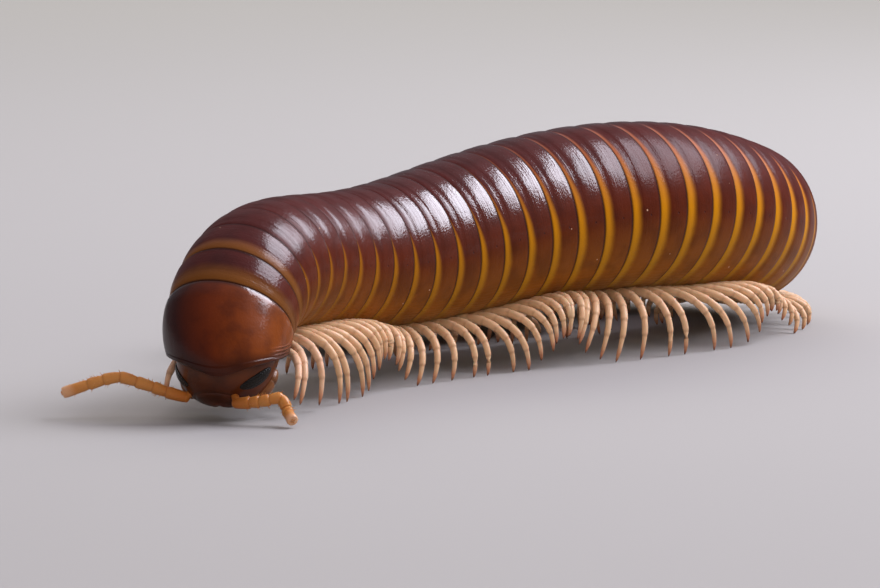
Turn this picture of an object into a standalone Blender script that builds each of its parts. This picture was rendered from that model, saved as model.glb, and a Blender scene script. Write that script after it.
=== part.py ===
"""Giant African millipede, life size, walking with the rear half of its body curled round behind it.

Sizes are in millimetres and degrees, and a mesh is scaled to metres as it is made. The origin is on the
floor under the middle of the animal, +Z is up, and the head points towards -Y. A station is a place along
the body counted in rings from the head: station k is the rear rim of ring k, and ring 1 is the collum.
"""

import math

import bmesh
import bpy
import numpy as np
from mathutils import Vector

MM = 0.001
GAP = 0.3

# Body: stations and the values there, joined by smooth curves
RINGS = 50
HEADING = {
    0: 75, 2: 70, 4: 69, 6: 67, 9: 56.5, 13: 46.5, 18: 38, 23: 51, 27: 69,
    30: 104, 33: 162, 36: 214, 38: 241, 40: 247, 43: 234, 46: 224, 50: 222,
}  # direction of the tail in plan, from +X
PITCH = {0: 61, 2: 35, 4: 9.5, 7: -5, 12: 5, 18: 4, 24: -9, 27: -10.5, 29: -5, 31: 0, 36: -1, 42: -4, 50: -6}
RADIUS = {1: 4.25, 4: 4.3, 8: 4.6, 14: 5.45, 20: 6.0, 28: 5.9, 36: 5.8, 42: 5.3, 46: 4.6, 50: 3.6}
NECK_RING = 1.8  # the first rings are drawn together
NECK_ENDS = 3
RING = 2.4
RING_FULL = 6
HEIGHT_RATIO = 1.02
MID_STATION = 10
MID_POINT = (-7.63, -11.90, 8.21)  # where the axis passes at the middle of the front half
AXIS_STEPS = 8

# Rings
RING_SIDES = 16
FRONT_RIM = 0.955
FRONT_AT = 0.97
SHOULDER = 0.992
SHOULDER_AT = 0.5
TRUNK_ENDS = (4, 12, 21, 29, 33, 37, 45, RINGS)

# Legs
LEG_SIDES = 4
LEG_TAPER = (0.38, 0.37, 0.35, 0.29, 0.15)
FIRST_DOUBLE_RING = 5  # from here on a ring has two pairs
SINGLE_AT = 0.4  # where a lone pair grows, in rings before the rear rim
DOUBLE_AT = (0.62, 0.17)
LEG_SUNK = 0.8
ROOT_ANGLE = 15
REACH_BASE = 2.0
REACH_BY_RADIUS = 0.72
INNER_TUCK = 0.32  # how far a bend draws in the legs inside it
OUTER_TUCK = 0.3  # and those outside it
TIGHT_BEND = 0.1  # radians a millimetre: legs inside it have room for one pair a ring
HIP_OUT = 0.4
HIP_RISE = 0.3
HIP_SWING = 0.3  # the share of the swing that the hip takes, and of the lift that the knee takes
KNEE_LIFT = 0.7
KNEE_OUT = 0.14
KNEE_SHARE = 0.9
KNEE_HEIGHT = 1.8
HIP_FOLLOWS = 0.2  # the share of the step that the hip follows, and that the knee holds back
KNEE_HOLDS = 0.3
WAVE = 8.3
FIRST_SWING = 8.2
STANCE = 0.38
STEP = 3.2
UNEVEN = 0.3  # no two feet keep quite the same step
UNEVEN_RATE = 4.7
LIFT = 2.2
FRONT_LIFT = 1.5
FRONT_LIFT_RINGS = 3.5
RIGHT_TUCK = 0.3  # the first right legs are held in under the body
RIGHT_TUCK_RINGS = 4.0

# Head, in its own frame: front, left, top
HEAD_AHEAD = 3.1
HEAD_BELOW = 0.2
HEAD_ASIDE = 0.5
HEAD_HEADING = 71
HEAD_PITCH = 62
HEAD_HALF_LENGTH = 3.15
HEAD_HALF_WIDTH = 3.3
HEAD_RISE = 2.9
HEAD_DROP = 2.1
HEAD_FULLNESS = 0.86
HEAD_ROUND = 20
HEAD_ALONG = 10
HEAD_CUT = 4  # degrees from each end of the head where its skin is closed

# Collum
COLLUM_HALF_ANGLE = 115
COLLUM_LENGTH = 5.9
COLLUM_DOME = 6.9
COLLUM_DOME_POWER = 2.4
COLLUM_LEAN = 1.2
COLLUM_MARGIN_POWER = 0.78
COLLUM_END = 8  # degrees past its ends where the margin would come to nothing
COLLUM_ROUND = 18
COLLUM_STEPS = 6

# Plates on the head: the ends of the long axis as (tilt, turn), and half the width as a share of the head
EYE_ENDS = ((42, 49), (80, 82))
EYE_HALF_WIDTH = 0.12
EYE_HEIGHTS = (0.36, 0.62)
MANDIBLE_ENDS = ((44, 112), (80, 115))
MANDIBLE_HALF_WIDTH = 0.2
MANDIBLE_HEIGHTS = (0.36, 0.75)
JAW_PLATE_ENDS = ((44, 180), (104, 180))
JAW_PLATE_HALF_WIDTH = 0.36
JAW_PLATE_HEIGHTS = (0.36, 0.75)
PLATE_STEPS = 5

# Antennae, from the head to the tip, as offsets from the head's middle
LEFT_ANTENNA = (
    (1.02, -3.09, -2.37), (1.62, -3.34, -2.3), (2.22, -3.54, -2.2), (2.87, -3.69, -2.07),
    (3.56, -3.69, -2.0), (3.92, -3.89, -2.57), (4.07, -4.29, -2.87), (4.37, -5.09, -3.24),
)
RIGHT_ANTENNA = (
    (-3.08, -0.79, -2.22), (-3.88, -0.69, -1.97), (-4.75, -0.59, -1.67), (-5.83, -0.59, -1.32),
    (-6.86, -0.59, -1.04), (-7.93, -0.59, -1.22), (-8.92, -0.59, -1.52), (-10.58, -0.59, -2.07),
)
ANTENNA_TAPER = (0.3, 0.38, 0.37, 0.43, 0.37, 0.42, 0.4, 0.3)
ANTENNA_SIDES = 6

# End of the tail, with lengths behind the last ring and shares of its radius
TELSON = ((0.3, 0.955), (0.7, 0.985), (1.3, 0.94), (1.9, 0.82), (2.3, 0.68))
VALVE = ((2.6, 0.5), (3.3, 0.45), (3.9, 0.33), (4.2, 0.18))
VALVE_RAISED = 0.1
VALVE_ROUND = 7
SCALE_HALF_WIDTH = 0.34
SCALE_TOP = -0.49
SCALE_BOTTOM = -0.67
SCALE_SPAN = (2.6, 3.4)


def smooth_curve(knots):
    """A function of the station that passes smoothly through the knots (a natural cubic spline)."""
    xs = np.array(sorted(knots), float)
    ys = np.array([knots[x] for x in sorted(knots)], float)
    span = np.diff(xs)
    count = len(xs)
    system = np.eye(count)
    wanted = np.zeros(count)
    for i in range(1, count - 1):
        system[i, i - 1:i + 2] = span[i - 1], 2 * (span[i - 1] + span[i]), span[i]
        wanted[i] = 6 * ((ys[i + 1] - ys[i]) / span[i] - (ys[i] - ys[i - 1]) / span[i - 1])
    bend = np.linalg.solve(system, wanted)

    def value(at):
        at = np.clip(np.asarray(at, float), xs[0], xs[-1])
        i = np.clip(np.searchsorted(xs, at) - 1, 0, count - 2)
        low = at - xs[i]
        high = xs[i + 1] - at
        wide = span[i]
        cubic = (bend[i] * high**3 + bend[i + 1] * low**3) / (6 * wide)
        line = (ys[i] / wide - bend[i] * wide / 6) * high + (ys[i + 1] / wide - bend[i + 1] * wide / 6) * low
        return cubic + line

    return value


heading_at = smooth_curve(HEADING)
pitch_at = smooth_curve(PITCH)
radius_at = smooth_curve(RADIUS)


def ring_length_at(station):
    """The distance along the axis that one ring takes up."""
    return float(np.interp(station, (NECK_ENDS, RING_FULL), (NECK_RING, RING)))


def tailward_at(station):
    """The unit direction of the axis towards the tail."""
    turn = math.radians(heading_at(station))
    rise = math.radians(pitch_at(station))
    return Vector((math.cos(turn) * math.cos(rise), math.sin(turn) * math.cos(rise), math.sin(rise)))


def axis_points():
    """Axis points AXIS_STEPS to a ring, from head to tail, set so that MID_STATION is at MID_POINT."""
    points = [Vector((0, 0, 0))]
    for i in range((RINGS + 2) * AXIS_STEPS):
        middle = (i + 0.5) / AXIS_STEPS
        points.append(points[-1] + tailward_at(middle) * ring_length_at(middle) / AXIS_STEPS)
    shift = Vector(MID_POINT) - points[MID_STATION * AXIS_STEPS]
    return [point + shift for point in points]


AXIS = axis_points()


def place(station):
    """The axis point at a station, with the unit vectors towards the tail, the animal's left and its back."""
    at = min(max(station, 0), RINGS + 2) * AXIS_STEPS
    low = min(int(at), len(AXIS) - 2)
    centre = AXIS[low].lerp(AXIS[low + 1], at - low)
    tailward = tailward_at(station)
    left = tailward.cross(Vector((0, 0, 1))).normalized()
    back = left.cross(tailward).normalized()
    return centre, tailward, left, back


def body_point(station, angle, share=1.0, behind=0.0):
    """A point at a share of the body's radius, angle degrees from the back towards the left side."""
    centre, tailward, left, back = place(station)
    turn = math.radians(angle)
    radius = share * float(radius_at(station))
    across = HEIGHT_RATIO * math.cos(turn) * back + math.sin(turn) * left
    return centre + tailward * behind + radius * across


def material(name, colour, roughness, metallic=0.0):
    """A plain finish, with a colour given as linear red, green and blue."""
    finish = bpy.data.materials.new(name)
    finish.use_nodes = True
    shader = finish.node_tree.nodes["Principled BSDF"]
    shader.inputs["Base Color"].default_value = (*colour, 1)
    shader.inputs["Roughness"].default_value = roughness
    shader.inputs["Metallic"].default_value = metallic
    return finish


def add_mesh(name, mesh, finish, collection):
    """A new object for a mesh made in millimetres."""
    mesh.transform(((MM, 0, 0, 0), (0, MM, 0, 0), (0, 0, MM, 0), (0, 0, 0, 1)))
    mesh.shade_smooth()
    mesh.set_sharp_from_angle(angle=math.radians(35))
    piece = bpy.data.objects.new(name, mesh)
    piece.data.materials.append(finish)
    collection.objects.link(piece)
    return piece


def loft(name, sections, finish, collection):
    """A closed skin over rings of points that all have the same count, with a flat cap at each end."""
    build = bmesh.new()
    rings = [[build.verts.new(point) for point in section] for section in sections]
    for ring, following in zip(rings, rings[1:]):
        for i in range(len(ring)):
            j = (i + 1) % len(ring)
            build.faces.new((ring[i], ring[j], following[j], following[i]))
    build.faces.new(rings[0])
    build.faces.new(rings[-1])
    bmesh.ops.recalc_face_normals(build, faces=build.faces)
    mesh = bpy.data.meshes.new(name)
    build.to_mesh(mesh)
    build.free()
    return add_mesh(name, mesh, finish, collection)


def boolean(piece, operation, others, name):
    """Applies one Boolean on a collection of closed mesh objects, and removes them."""
    group = bpy.data.collections.new(name)
    for other in others:
        for holder in list(other.users_collection):
            holder.objects.unlink(other)
        group.objects.link(other)
    bpy.context.scene.collection.children.link(group)
    change = piece.modifiers.new(name, "BOOLEAN")
    change.operation = operation
    change.operand_type = "COLLECTION"
    change.collection = group
    change.solver = "EXACT"
    bpy.context.view_layer.update()
    graph = bpy.context.evaluated_depsgraph_get()
    result = bpy.data.meshes.new_from_object(piece.evaluated_get(graph))
    piece.modifiers.clear()
    old = piece.data
    piece.data = result
    bpy.data.meshes.remove(old)
    for other in others:
        bpy.data.objects.remove(other)
    bpy.data.collections.remove(group)
    keep_largest(piece)


def keep_largest(piece):
    """Drops all but the closed surface that holds the most space."""
    build = bmesh.new()
    build.from_mesh(piece.data)
    left = set(build.faces)
    shells = []
    while left:
        shell = {left.pop()}
        edge_of = list(shell)
        while edge_of:
            face = edge_of.pop()
            for edge in face.edges:
                for near in edge.link_faces:
                    if near in left:
                        left.remove(near)
                        shell.add(near)
                        edge_of.append(near)
        shells.append(shell)

    def space(shell):
        total = 0.0
        for face in shell:
            corners = [vert.co for vert in face.verts]
            for i in range(1, len(corners) - 1):
                total += corners[0].dot(corners[i].cross(corners[i + 1]))
        return abs(total)

    kept = max(shells, key=space)
    bmesh.ops.delete(build, geom=[face for face in build.faces if face not in kept], context="FACES")
    build.to_mesh(piece.data)
    build.free()


def inward_bend(station, side):
    """How sharply the body bends towards one side, in radians a millimetre."""
    bend = math.radians(float(heading_at(station + 0.5) - heading_at(station - 0.5)))
    return -side * bend / ring_length_at(station)


def gait(station, side):
    """How far a foot is set back, how high it is lifted and how far its leg is swung up, by the wave."""
    uneven = UNEVEN * math.sin(UNEVEN_RATE * station + side)
    phase = ((station - FIRST_SWING) / WAVE + (1 - STANCE) / 2 + STANCE) % 1
    front = FRONT_LIFT * max(0, 1 - (station - 1) / FRONT_LIFT_RINGS)
    if phase < STANCE:
        return STEP * (2 * phase / STANCE - 1) + uneven, front, 0
    swing = (phase - STANCE) / (1 - STANCE)
    lift = max(front, LIFT * math.sin(math.pi * swing))
    return STEP * math.cos(math.pi * swing) + uneven, lift, lift - front


def leg_points(station, side):
    """Points along a leg from inside the belly to the foot; side is 1 on the left and -1 on the right."""
    centre, tailward, left, back = place(station)
    root = body_point(station, side * (180 - ROOT_ANGLE))
    inward = (root - centre).normalized()
    out = side * Vector((left.x, left.y, 0)).normalized()
    along = Vector((tailward.x, tailward.y, 0)).normalized()
    inner = max(0.0, inward_bend(station, side))
    outer = max(0.0, inward_bend(station, -side))
    reach = REACH_BASE + REACH_BY_RADIUS * float(radius_at(station))
    reach *= 1 - INNER_TUCK * min(1.0, inner * reach) - OUTER_TUCK * min(1.0, outer * reach)
    if side < 0:
        reach *= 1 - RIGHT_TUCK * max(0.0, 1 - (station - 1) / RIGHT_TUCK_RINGS)
    room = 1 - inner * reach
    step, lift, swing = gait(station, side)
    step *= room * room
    foot = centre + out * reach + along * step
    foot.z = lift
    hip = root + out * HIP_OUT * reach + along * HIP_FOLLOWS * step
    hip.z = max(root.z + HIP_RISE, KNEE_HEIGHT) + HIP_SWING * swing
    knee = foot + out * KNEE_OUT * reach - along * KNEE_HOLDS * step
    knee.z = max(KNEE_SHARE * root.z, KNEE_HEIGHT) + KNEE_LIFT * lift
    spans = len(LEG_TAPER) - 1
    points = [root - inward * LEG_SUNK]
    for i in range(spans + 1):
        t = i / spans
        points.append(
            root * (1 - t) ** 3 + hip * 3 * t * (1 - t) ** 2 + knee * 3 * t**2 * (1 - t) + foot * t**3
        )
    return points[:1] + points[2:]


def make_leg(name, station, side, finish, collection):
    """One leg as a tapered tube that ends in a small level foot."""
    points = leg_points(station, side)
    tailward = place(station)[1]
    across = Vector((tailward.x, tailward.y, 0)).normalized()
    sections = []
    for i, (point, thick) in enumerate(zip(points, LEG_TAPER)):
        before = points[max(i - 1, 0)]
        after = points[min(i + 1, len(points) - 1)]
        along = (after - before).normalized()
        if i == len(points) - 1:
            along = Vector((0, 0, -1))
        first = (across - along * across.dot(along)).normalized()
        second = along.cross(first)
        sections.append(
            [
                point + thick * (math.cos(turn) * first + math.sin(turn) * second)
                for turn in (2 * math.pi * (k + 0.5) / LEG_SIDES for k in range(LEG_SIDES))
            ]
        )
    return loft(name, sections, finish, collection)


def ring_section(station, share, behind=0.0):
    """The body's outline at a station."""
    return [
        body_point(station, 360 * i / RING_SIDES, share, behind)
        for i in range(RING_SIDES)
    ]


def leg_stations(ring, side):
    """Where a ring's legs grow on a side: none on the last ring, one on the first few or in a tight bend."""
    if ring == RINGS:
        return ()
    if ring < FIRST_DOUBLE_RING or inward_bend(ring - SINGLE_AT, side) > TIGHT_BEND:
        return (ring - SINGLE_AT,)
    return tuple(ring - before for before in DOUBLE_AT)


def make_trunk(name, first, last, finish, collection):
    """Rings first to last as one stepped length, with their legs."""
    sections = []
    for ring in range(first, last + 1):
        if ring == first:
            sections.append(ring_section(ring - 1, FRONT_RIM, GAP))
        else:
            sections.append(ring_section(ring - FRONT_AT, FRONT_RIM))
        sections.append(ring_section(ring - SHOULDER_AT, SHOULDER))
        sections.append(ring_section(ring, 1))
    trunk = loft(name, sections, finish, collection)
    legs = [
        make_leg(f"{name}_leg_{station}_{side}", station, side, finish, collection)
        for ring in range(first, last + 1)
        for side in (1, -1)
        for station in leg_stations(ring, side)
    ]
    boolean(trunk, "UNION", legs, "legs")
    return trunk


def head_frame():
    """The head's middle, with the unit vectors to its front, left and top."""
    centre, tailward, left, back = place(1)
    turn = math.radians(HEAD_HEADING)
    dip = math.radians(HEAD_PITCH)
    front = -Vector((math.cos(turn) * math.cos(dip), math.sin(turn) * math.cos(dip), math.sin(dip)))
    middle = centre - tailward * HEAD_AHEAD - back * HEAD_BELOW + left * HEAD_ASIDE
    side = Vector((math.sin(turn), -math.cos(turn), 0))
    return middle, front, side, front.cross(side)


def head_point(tilt, turn, out=0.0):
    """A point on the head, tilt degrees from its front end and turn degrees from its top to its left."""
    middle, front, left, top = head_frame()
    tilt = math.radians(tilt)
    turn = math.radians(turn)
    girth = max(math.sin(tilt), 0) ** HEAD_FULLNESS
    high = HEAD_RISE if math.cos(turn) > 0 else HEAD_DROP
    ahead = HEAD_HALF_LENGTH * math.cos(tilt)
    aside = HEAD_HALF_WIDTH * girth * math.sin(turn)
    above = high * girth * math.cos(turn)
    normal = Vector((ahead / HEAD_HALF_LENGTH**2, aside / HEAD_HALF_WIDTH**2, above / high**2)).normalized()
    spot = Vector((ahead, aside, above)) + out * normal
    return middle + front * spot.x + left * spot.y + top * spot.z


def make_head(name, out, finish, collection):
    """The head capsule, or a swollen copy of it that clears the pieces round it."""
    sections = []
    for i in range(HEAD_ALONG + 1):
        tilt = HEAD_CUT + (180 - 2 * HEAD_CUT) * i / HEAD_ALONG
        sections.append([head_point(tilt, 360 * k / HEAD_ROUND, out) for k in range(HEAD_ROUND)])
    return loft(name, sections, finish, collection)


def make_collum(finish, collection):
    """The shield behind the head: a dome that opens round the head, with a side lobe at each end."""
    centre, tailward, left, back = place(1)
    angles = [COLLUM_HALF_ANGLE * (2 * i / COLLUM_ROUND - 1) for i in range(COLLUM_ROUND + 1)]
    sections = []
    for j in range(COLLUM_STEPS + 1):
        section = []
        for angle in angles:
            share = math.cos(math.radians(90 * abs(angle) / (COLLUM_HALF_ANGLE + COLLUM_END)))
            ahead = COLLUM_LENGTH * share**COLLUM_MARGIN_POWER * j / COLLUM_STEPS
            dome = (1 - (ahead / COLLUM_DOME) ** COLLUM_DOME_POWER) ** 0.5
            radius = float(radius_at(1)) * dome
            turn = math.radians(angle)
            leaning = centre - tailward * ahead + left * COLLUM_LEAN * (ahead / COLLUM_LENGTH) ** 2
            section.append(leaning + radius * (HEIGHT_RATIO * math.cos(turn) * back + math.sin(turn) * left))
        sections.append(section)
    collum = loft("collum", sections, finish, collection)
    rooms = [make_head("head_room", GAP, finish, collection)]
    for side in (1, -1):
        for name, ends, half_width, heights in (
            ("eye_room", EYE_ENDS, EYE_HALF_WIDTH, EYE_HEIGHTS),
            ("mandible_room", MANDIBLE_ENDS, MANDIBLE_HALF_WIDTH, MANDIBLE_HEIGHTS),
        ):
            rooms.append(plate_on_head(name, ends, half_width, heights, side, finish, collection, GAP))
    boolean(collum, "DIFFERENCE", rooms, "head_room")
    return collum


def head_direction(tilt, turn):
    """The unit direction of a tilt and turn."""
    tilt = math.radians(tilt)
    turn = math.radians(turn)
    return Vector((math.cos(tilt), math.sin(tilt) * math.sin(turn), math.sin(tilt) * math.cos(turn)))


def plate_on_head(name, ends, half_width, heights, side, finish, collection, room=0.0):
    """An oval plate that follows the head's surface, with room to spare round it when it is a cutter."""
    first, second = (head_direction(tilt, side * turn) for tilt, turn in ends)
    middle = (first + second) / 2
    along = (second - first) / 2
    across = middle.cross(along).normalized()
    spare = room / HEAD_HALF_WIDTH
    along *= 1 + spare / along.length
    lower = heights[0] - 2 * room
    upper = heights[1] + room
    sections = []
    for i in range(PLATE_STEPS + 1):
        share = -math.cos(math.pi * (i + 0.3) / (PLATE_STEPS + 0.6))
        wide = (half_width + spare) * math.sqrt(1 - share**2)
        section = []
        for aside, height in ((-1, lower), (0, lower), (1, lower), (0.85, upper), (0, upper), (-0.85, upper)):
            spot = (middle + along * share + across * wide * aside).normalized()
            tilt = math.degrees(math.acos(spot.x))
            turn = math.degrees(math.atan2(spot.y, spot.z))
            section.append(head_point(tilt, turn, height))
        sections.append(section)
    return loft(name, sections, finish, collection)


def make_antenna(name, points, finish, collection):
    """An antenna through points, thicker at each joint's far end."""
    middle = head_frame()[0]
    points = [middle + Vector(point) for point in points]
    sections = []
    for i, (point, thick) in enumerate(zip(points, ANTENNA_TAPER)):
        along = (points[min(i + 1, len(points) - 1)] - points[max(i - 1, 0)]).normalized()
        first = (Vector((0, 0, 1)) - along * along.z).normalized()
        second = along.cross(first)
        sections.append(
            [
                point + thick * (math.cos(turn) * first + math.sin(turn) * second)
                for turn in (2 * math.pi * k / ANTENNA_SIDES for k in range(ANTENNA_SIDES))
            ]
        )
    return loft(name, sections, finish, collection)


def make_telson(finish, collection):
    """The legless last ring, closing in behind the body."""
    sections = [ring_section(RINGS, share, behind) for behind, share in TELSON]
    return loft("telson", sections, finish, collection)


def tail_point(behind, aside, above):
    """A point behind the last ring, with the two offsets as shares of its radius."""
    centre, tailward, left, back = place(RINGS)
    radius = float(radius_at(RINGS))
    return centre + tailward * behind + radius * (left * aside + back * above)


def make_valve(name, side, finish, collection):
    """One of the two swollen plates that close the tail, flat where it meets the other."""
    seam = GAP / 2 / float(radius_at(RINGS))
    sections = []
    for behind, share in VALVE:
        section = []
        for k in range(VALVE_ROUND + 1):
            turn = math.pi * k / VALVE_ROUND
            aside = side * (seam + share * math.sin(turn))
            section.append(tail_point(behind, aside, VALVE_RAISED + share * math.cos(turn)))
        sections.append(section)
    return loft(name, sections, finish, collection)


def make_scale(finish, collection):
    """The small plate below the two valves."""
    sections = []
    for behind, share in zip(SCALE_SPAN, (1.0, 0.6)):
        wide = SCALE_HALF_WIDTH * share
        low = 0.8 * wide
        corners = ((wide, SCALE_TOP), (-wide, SCALE_TOP), (-low, SCALE_BOTTOM), (low, SCALE_BOTTOM))
        sections.append([tail_point(behind, aside, above) for aside, above in corners])
    return loft("subanal_scale", sections, finish, collection)


def main():
    for old in list(bpy.data.objects):
        bpy.data.objects.remove(old)
    body = bpy.data.collections.new("millipede")
    bpy.context.scene.collection.children.link(body)
    make_head("head", 0, material("head_shell", (0.045, 0.012, 0.007), 0.25), body)
    make_collum(material("collum_shell", (0.16, 0.035, 0.012), 0.22), body)
    eye = material("eye_black", (0.008, 0.007, 0.006), 0.3)
    jaw = material("jaw_shell", (0.12, 0.04, 0.015), 0.35)
    for side, word in ((1, "left"), (-1, "right")):
        plate_on_head(f"eye_{word}", EYE_ENDS, EYE_HALF_WIDTH, EYE_HEIGHTS, side, eye, body)
        name = f"mandible_{word}"
        plate_on_head(name, MANDIBLE_ENDS, MANDIBLE_HALF_WIDTH, MANDIBLE_HEIGHTS, side, jaw, body)
    plate_on_head("gnathochilarium", JAW_PLATE_ENDS, JAW_PLATE_HALF_WIDTH, JAW_PLATE_HEIGHTS, 1, jaw, body)
    feeler = material("antenna_orange", (0.48, 0.13, 0.04), 0.4)
    make_antenna("antenna_left", LEFT_ANTENNA, feeler, body)
    make_antenna("antenna_right", RIGHT_ANTENNA, feeler, body)
    shell = material("trunk_shell", (0.11, 0.025, 0.012), 0.22)
    first = 2
    for i, last in enumerate(TRUNK_ENDS):
        make_trunk(f"trunk_{i + 1:02d}", first, last, shell, body)
        first = last + 1
    tail = material("tail_shell", (0.09, 0.022, 0.011), 0.25)
    make_telson(tail, body)
    make_valve("anal_valve_left", 1, tail, body)
    make_valve("anal_valve_right", -1, tail, body)
    make_scale(tail, body)


main()
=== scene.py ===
"""Dresses the giant millipede: rings, shield, head, eyes, feelers, legs and tail, with studio and camera.

Sizes are in millimetres and degrees, and meshes are scaled to metres as they are made. A station is a place
along the body counted in rings from the head: station k is the rear rim of ring k, and ring 1 is the collum.
"""

import logging
import math
from dataclasses import dataclass, field
from enum import Enum
from functools import partial
from typing import Callable, Iterator

import bpy
import numpy as np
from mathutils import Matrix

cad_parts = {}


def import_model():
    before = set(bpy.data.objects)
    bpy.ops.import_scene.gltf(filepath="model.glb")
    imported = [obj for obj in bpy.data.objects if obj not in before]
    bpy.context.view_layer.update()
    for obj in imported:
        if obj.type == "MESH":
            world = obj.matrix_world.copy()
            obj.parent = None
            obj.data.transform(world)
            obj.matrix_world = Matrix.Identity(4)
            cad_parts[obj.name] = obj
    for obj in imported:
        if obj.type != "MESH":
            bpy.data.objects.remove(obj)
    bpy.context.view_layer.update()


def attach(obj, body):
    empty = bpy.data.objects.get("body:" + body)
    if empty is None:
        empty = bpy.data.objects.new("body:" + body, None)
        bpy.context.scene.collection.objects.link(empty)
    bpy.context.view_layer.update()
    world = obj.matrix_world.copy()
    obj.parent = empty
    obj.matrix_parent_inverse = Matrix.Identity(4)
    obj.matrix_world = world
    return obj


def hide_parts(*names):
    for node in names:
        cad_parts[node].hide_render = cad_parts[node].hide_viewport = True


LOG = logging.getLogger("millipede")
MM = 0.001
PHOTO_WIDTH = 880
RINGS = 50
RING = 2.4
TRUNK_ENDS = (4, 12, 21, 29, 33, 37, 45, RINGS)
SEED = 7

Array = np.ndarray
Material = bpy.types.Material
Object = bpy.types.Object
Socket = bpy.types.NodeSocket
Feed = Socket | float | str
Layer = tuple[Socket, str | Socket]
Line = Callable[[Array], Array]
Point = tuple[float, float, float]
Pair = tuple[float, float]
Ramp = tuple[float, float, float, float]  # a mask's start and end, and its values there
Stops = tuple[tuple[float, str], ...]  # places from 0 to 1, with their sRGB hex colours


class Side(Enum):
    """The animal's own left and right."""

    LEFT = 1
    RIGHT = -1


class Mark(Enum):
    """Surface values that the finishes read, kept on each mesh's points."""

    ALONG = "along"
    AROUND = "around"
    STATION = "station"
    EDGE = "edge"
    TINT = "tint"


def linear(code: str) -> tuple[float, float, float, float]:
    """Turns an sRGB hex colour to linear.

    Args:
        code: The colour as six hex digits after a #.

    Returns:
        Linear red, green and blue, and an alpha of 1.
    """
    parts = [int(code[i:i + 2], 16) / 255 for i in (1, 3, 5)]
    low, scale, bend, power = 0.04045, 12.92, 0.055, 2.4
    red, green, blue = (v / scale if v <= low else ((v + bend) / (1 + bend)) ** power for v in parts)
    return red, green, blue, 1.0


def unit(vectors: Array) -> Array:
    """Scales vectors to length 1.

    Args:
        vectors: Vectors along the last axis.

    Returns:
        The unit vectors, in the same shape.
    """
    return vectors / np.linalg.norm(vectors, axis=-1, keepdims=True)


def smoothstep(value: Array | float, low: float, high: float) -> Array:
    """Rises smoothly from 0 at low to 1 at high.

    Args:
        value: Where to read the step.
        low: Where it starts.
        high: Where it ends.

    Returns:
        The step's value at each place.
    """
    share = np.clip((np.asarray(value, float) - low) / (high - low), 0, 1)
    return share * share * (3 - 2 * share)


class Curve:
    """A natural cubic spline through knots."""

    def __init__(self, knots: dict[float, float]) -> None:
        """Solves the spline.

        Args:
            knots: The value at each place.
        """
        self.xs = np.array(sorted(knots), float)
        self.ys = np.array([knots[x] for x in sorted(knots)], float)
        self.span = np.diff(self.xs)
        count = len(self.xs)
        system = np.eye(count)
        wanted = np.zeros(count)
        for i in range(1, count - 1):
            near, far = self.span[i - 1], self.span[i]
            system[i, i - 1:i + 2] = near, 2 * (near + far), far
            wanted[i] = 6 * ((self.ys[i + 1] - self.ys[i]) / far - (self.ys[i] - self.ys[i - 1]) / near)
        self.bend = np.linalg.solve(system, wanted)

    def __call__(self, at: Array | float) -> Array:
        """Reads the spline.

        Args:
            at: The places to read.

        Returns:
            The values there.
        """
        at = np.clip(np.asarray(at, float), self.xs[0], self.xs[-1])
        i = np.clip(np.searchsorted(self.xs, at) - 1, 0, len(self.xs) - 2)
        low = at - self.xs[i]
        high = self.xs[i + 1] - at
        wide = self.span[i]
        cubic = (self.bend[i] * high**3 + self.bend[i + 1] * low**3) / (6 * wide)
        start = (self.ys[i] / wide - self.bend[i] * wide / 6) * high
        return cubic + start + (self.ys[i + 1] / wide - self.bend[i + 1] * wide / 6) * low


@dataclass
class Place:
    """Points on the body's axis with the directions there, one row to a station."""

    centre: Array
    tailward: Array
    left: Array
    back: Array


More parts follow.
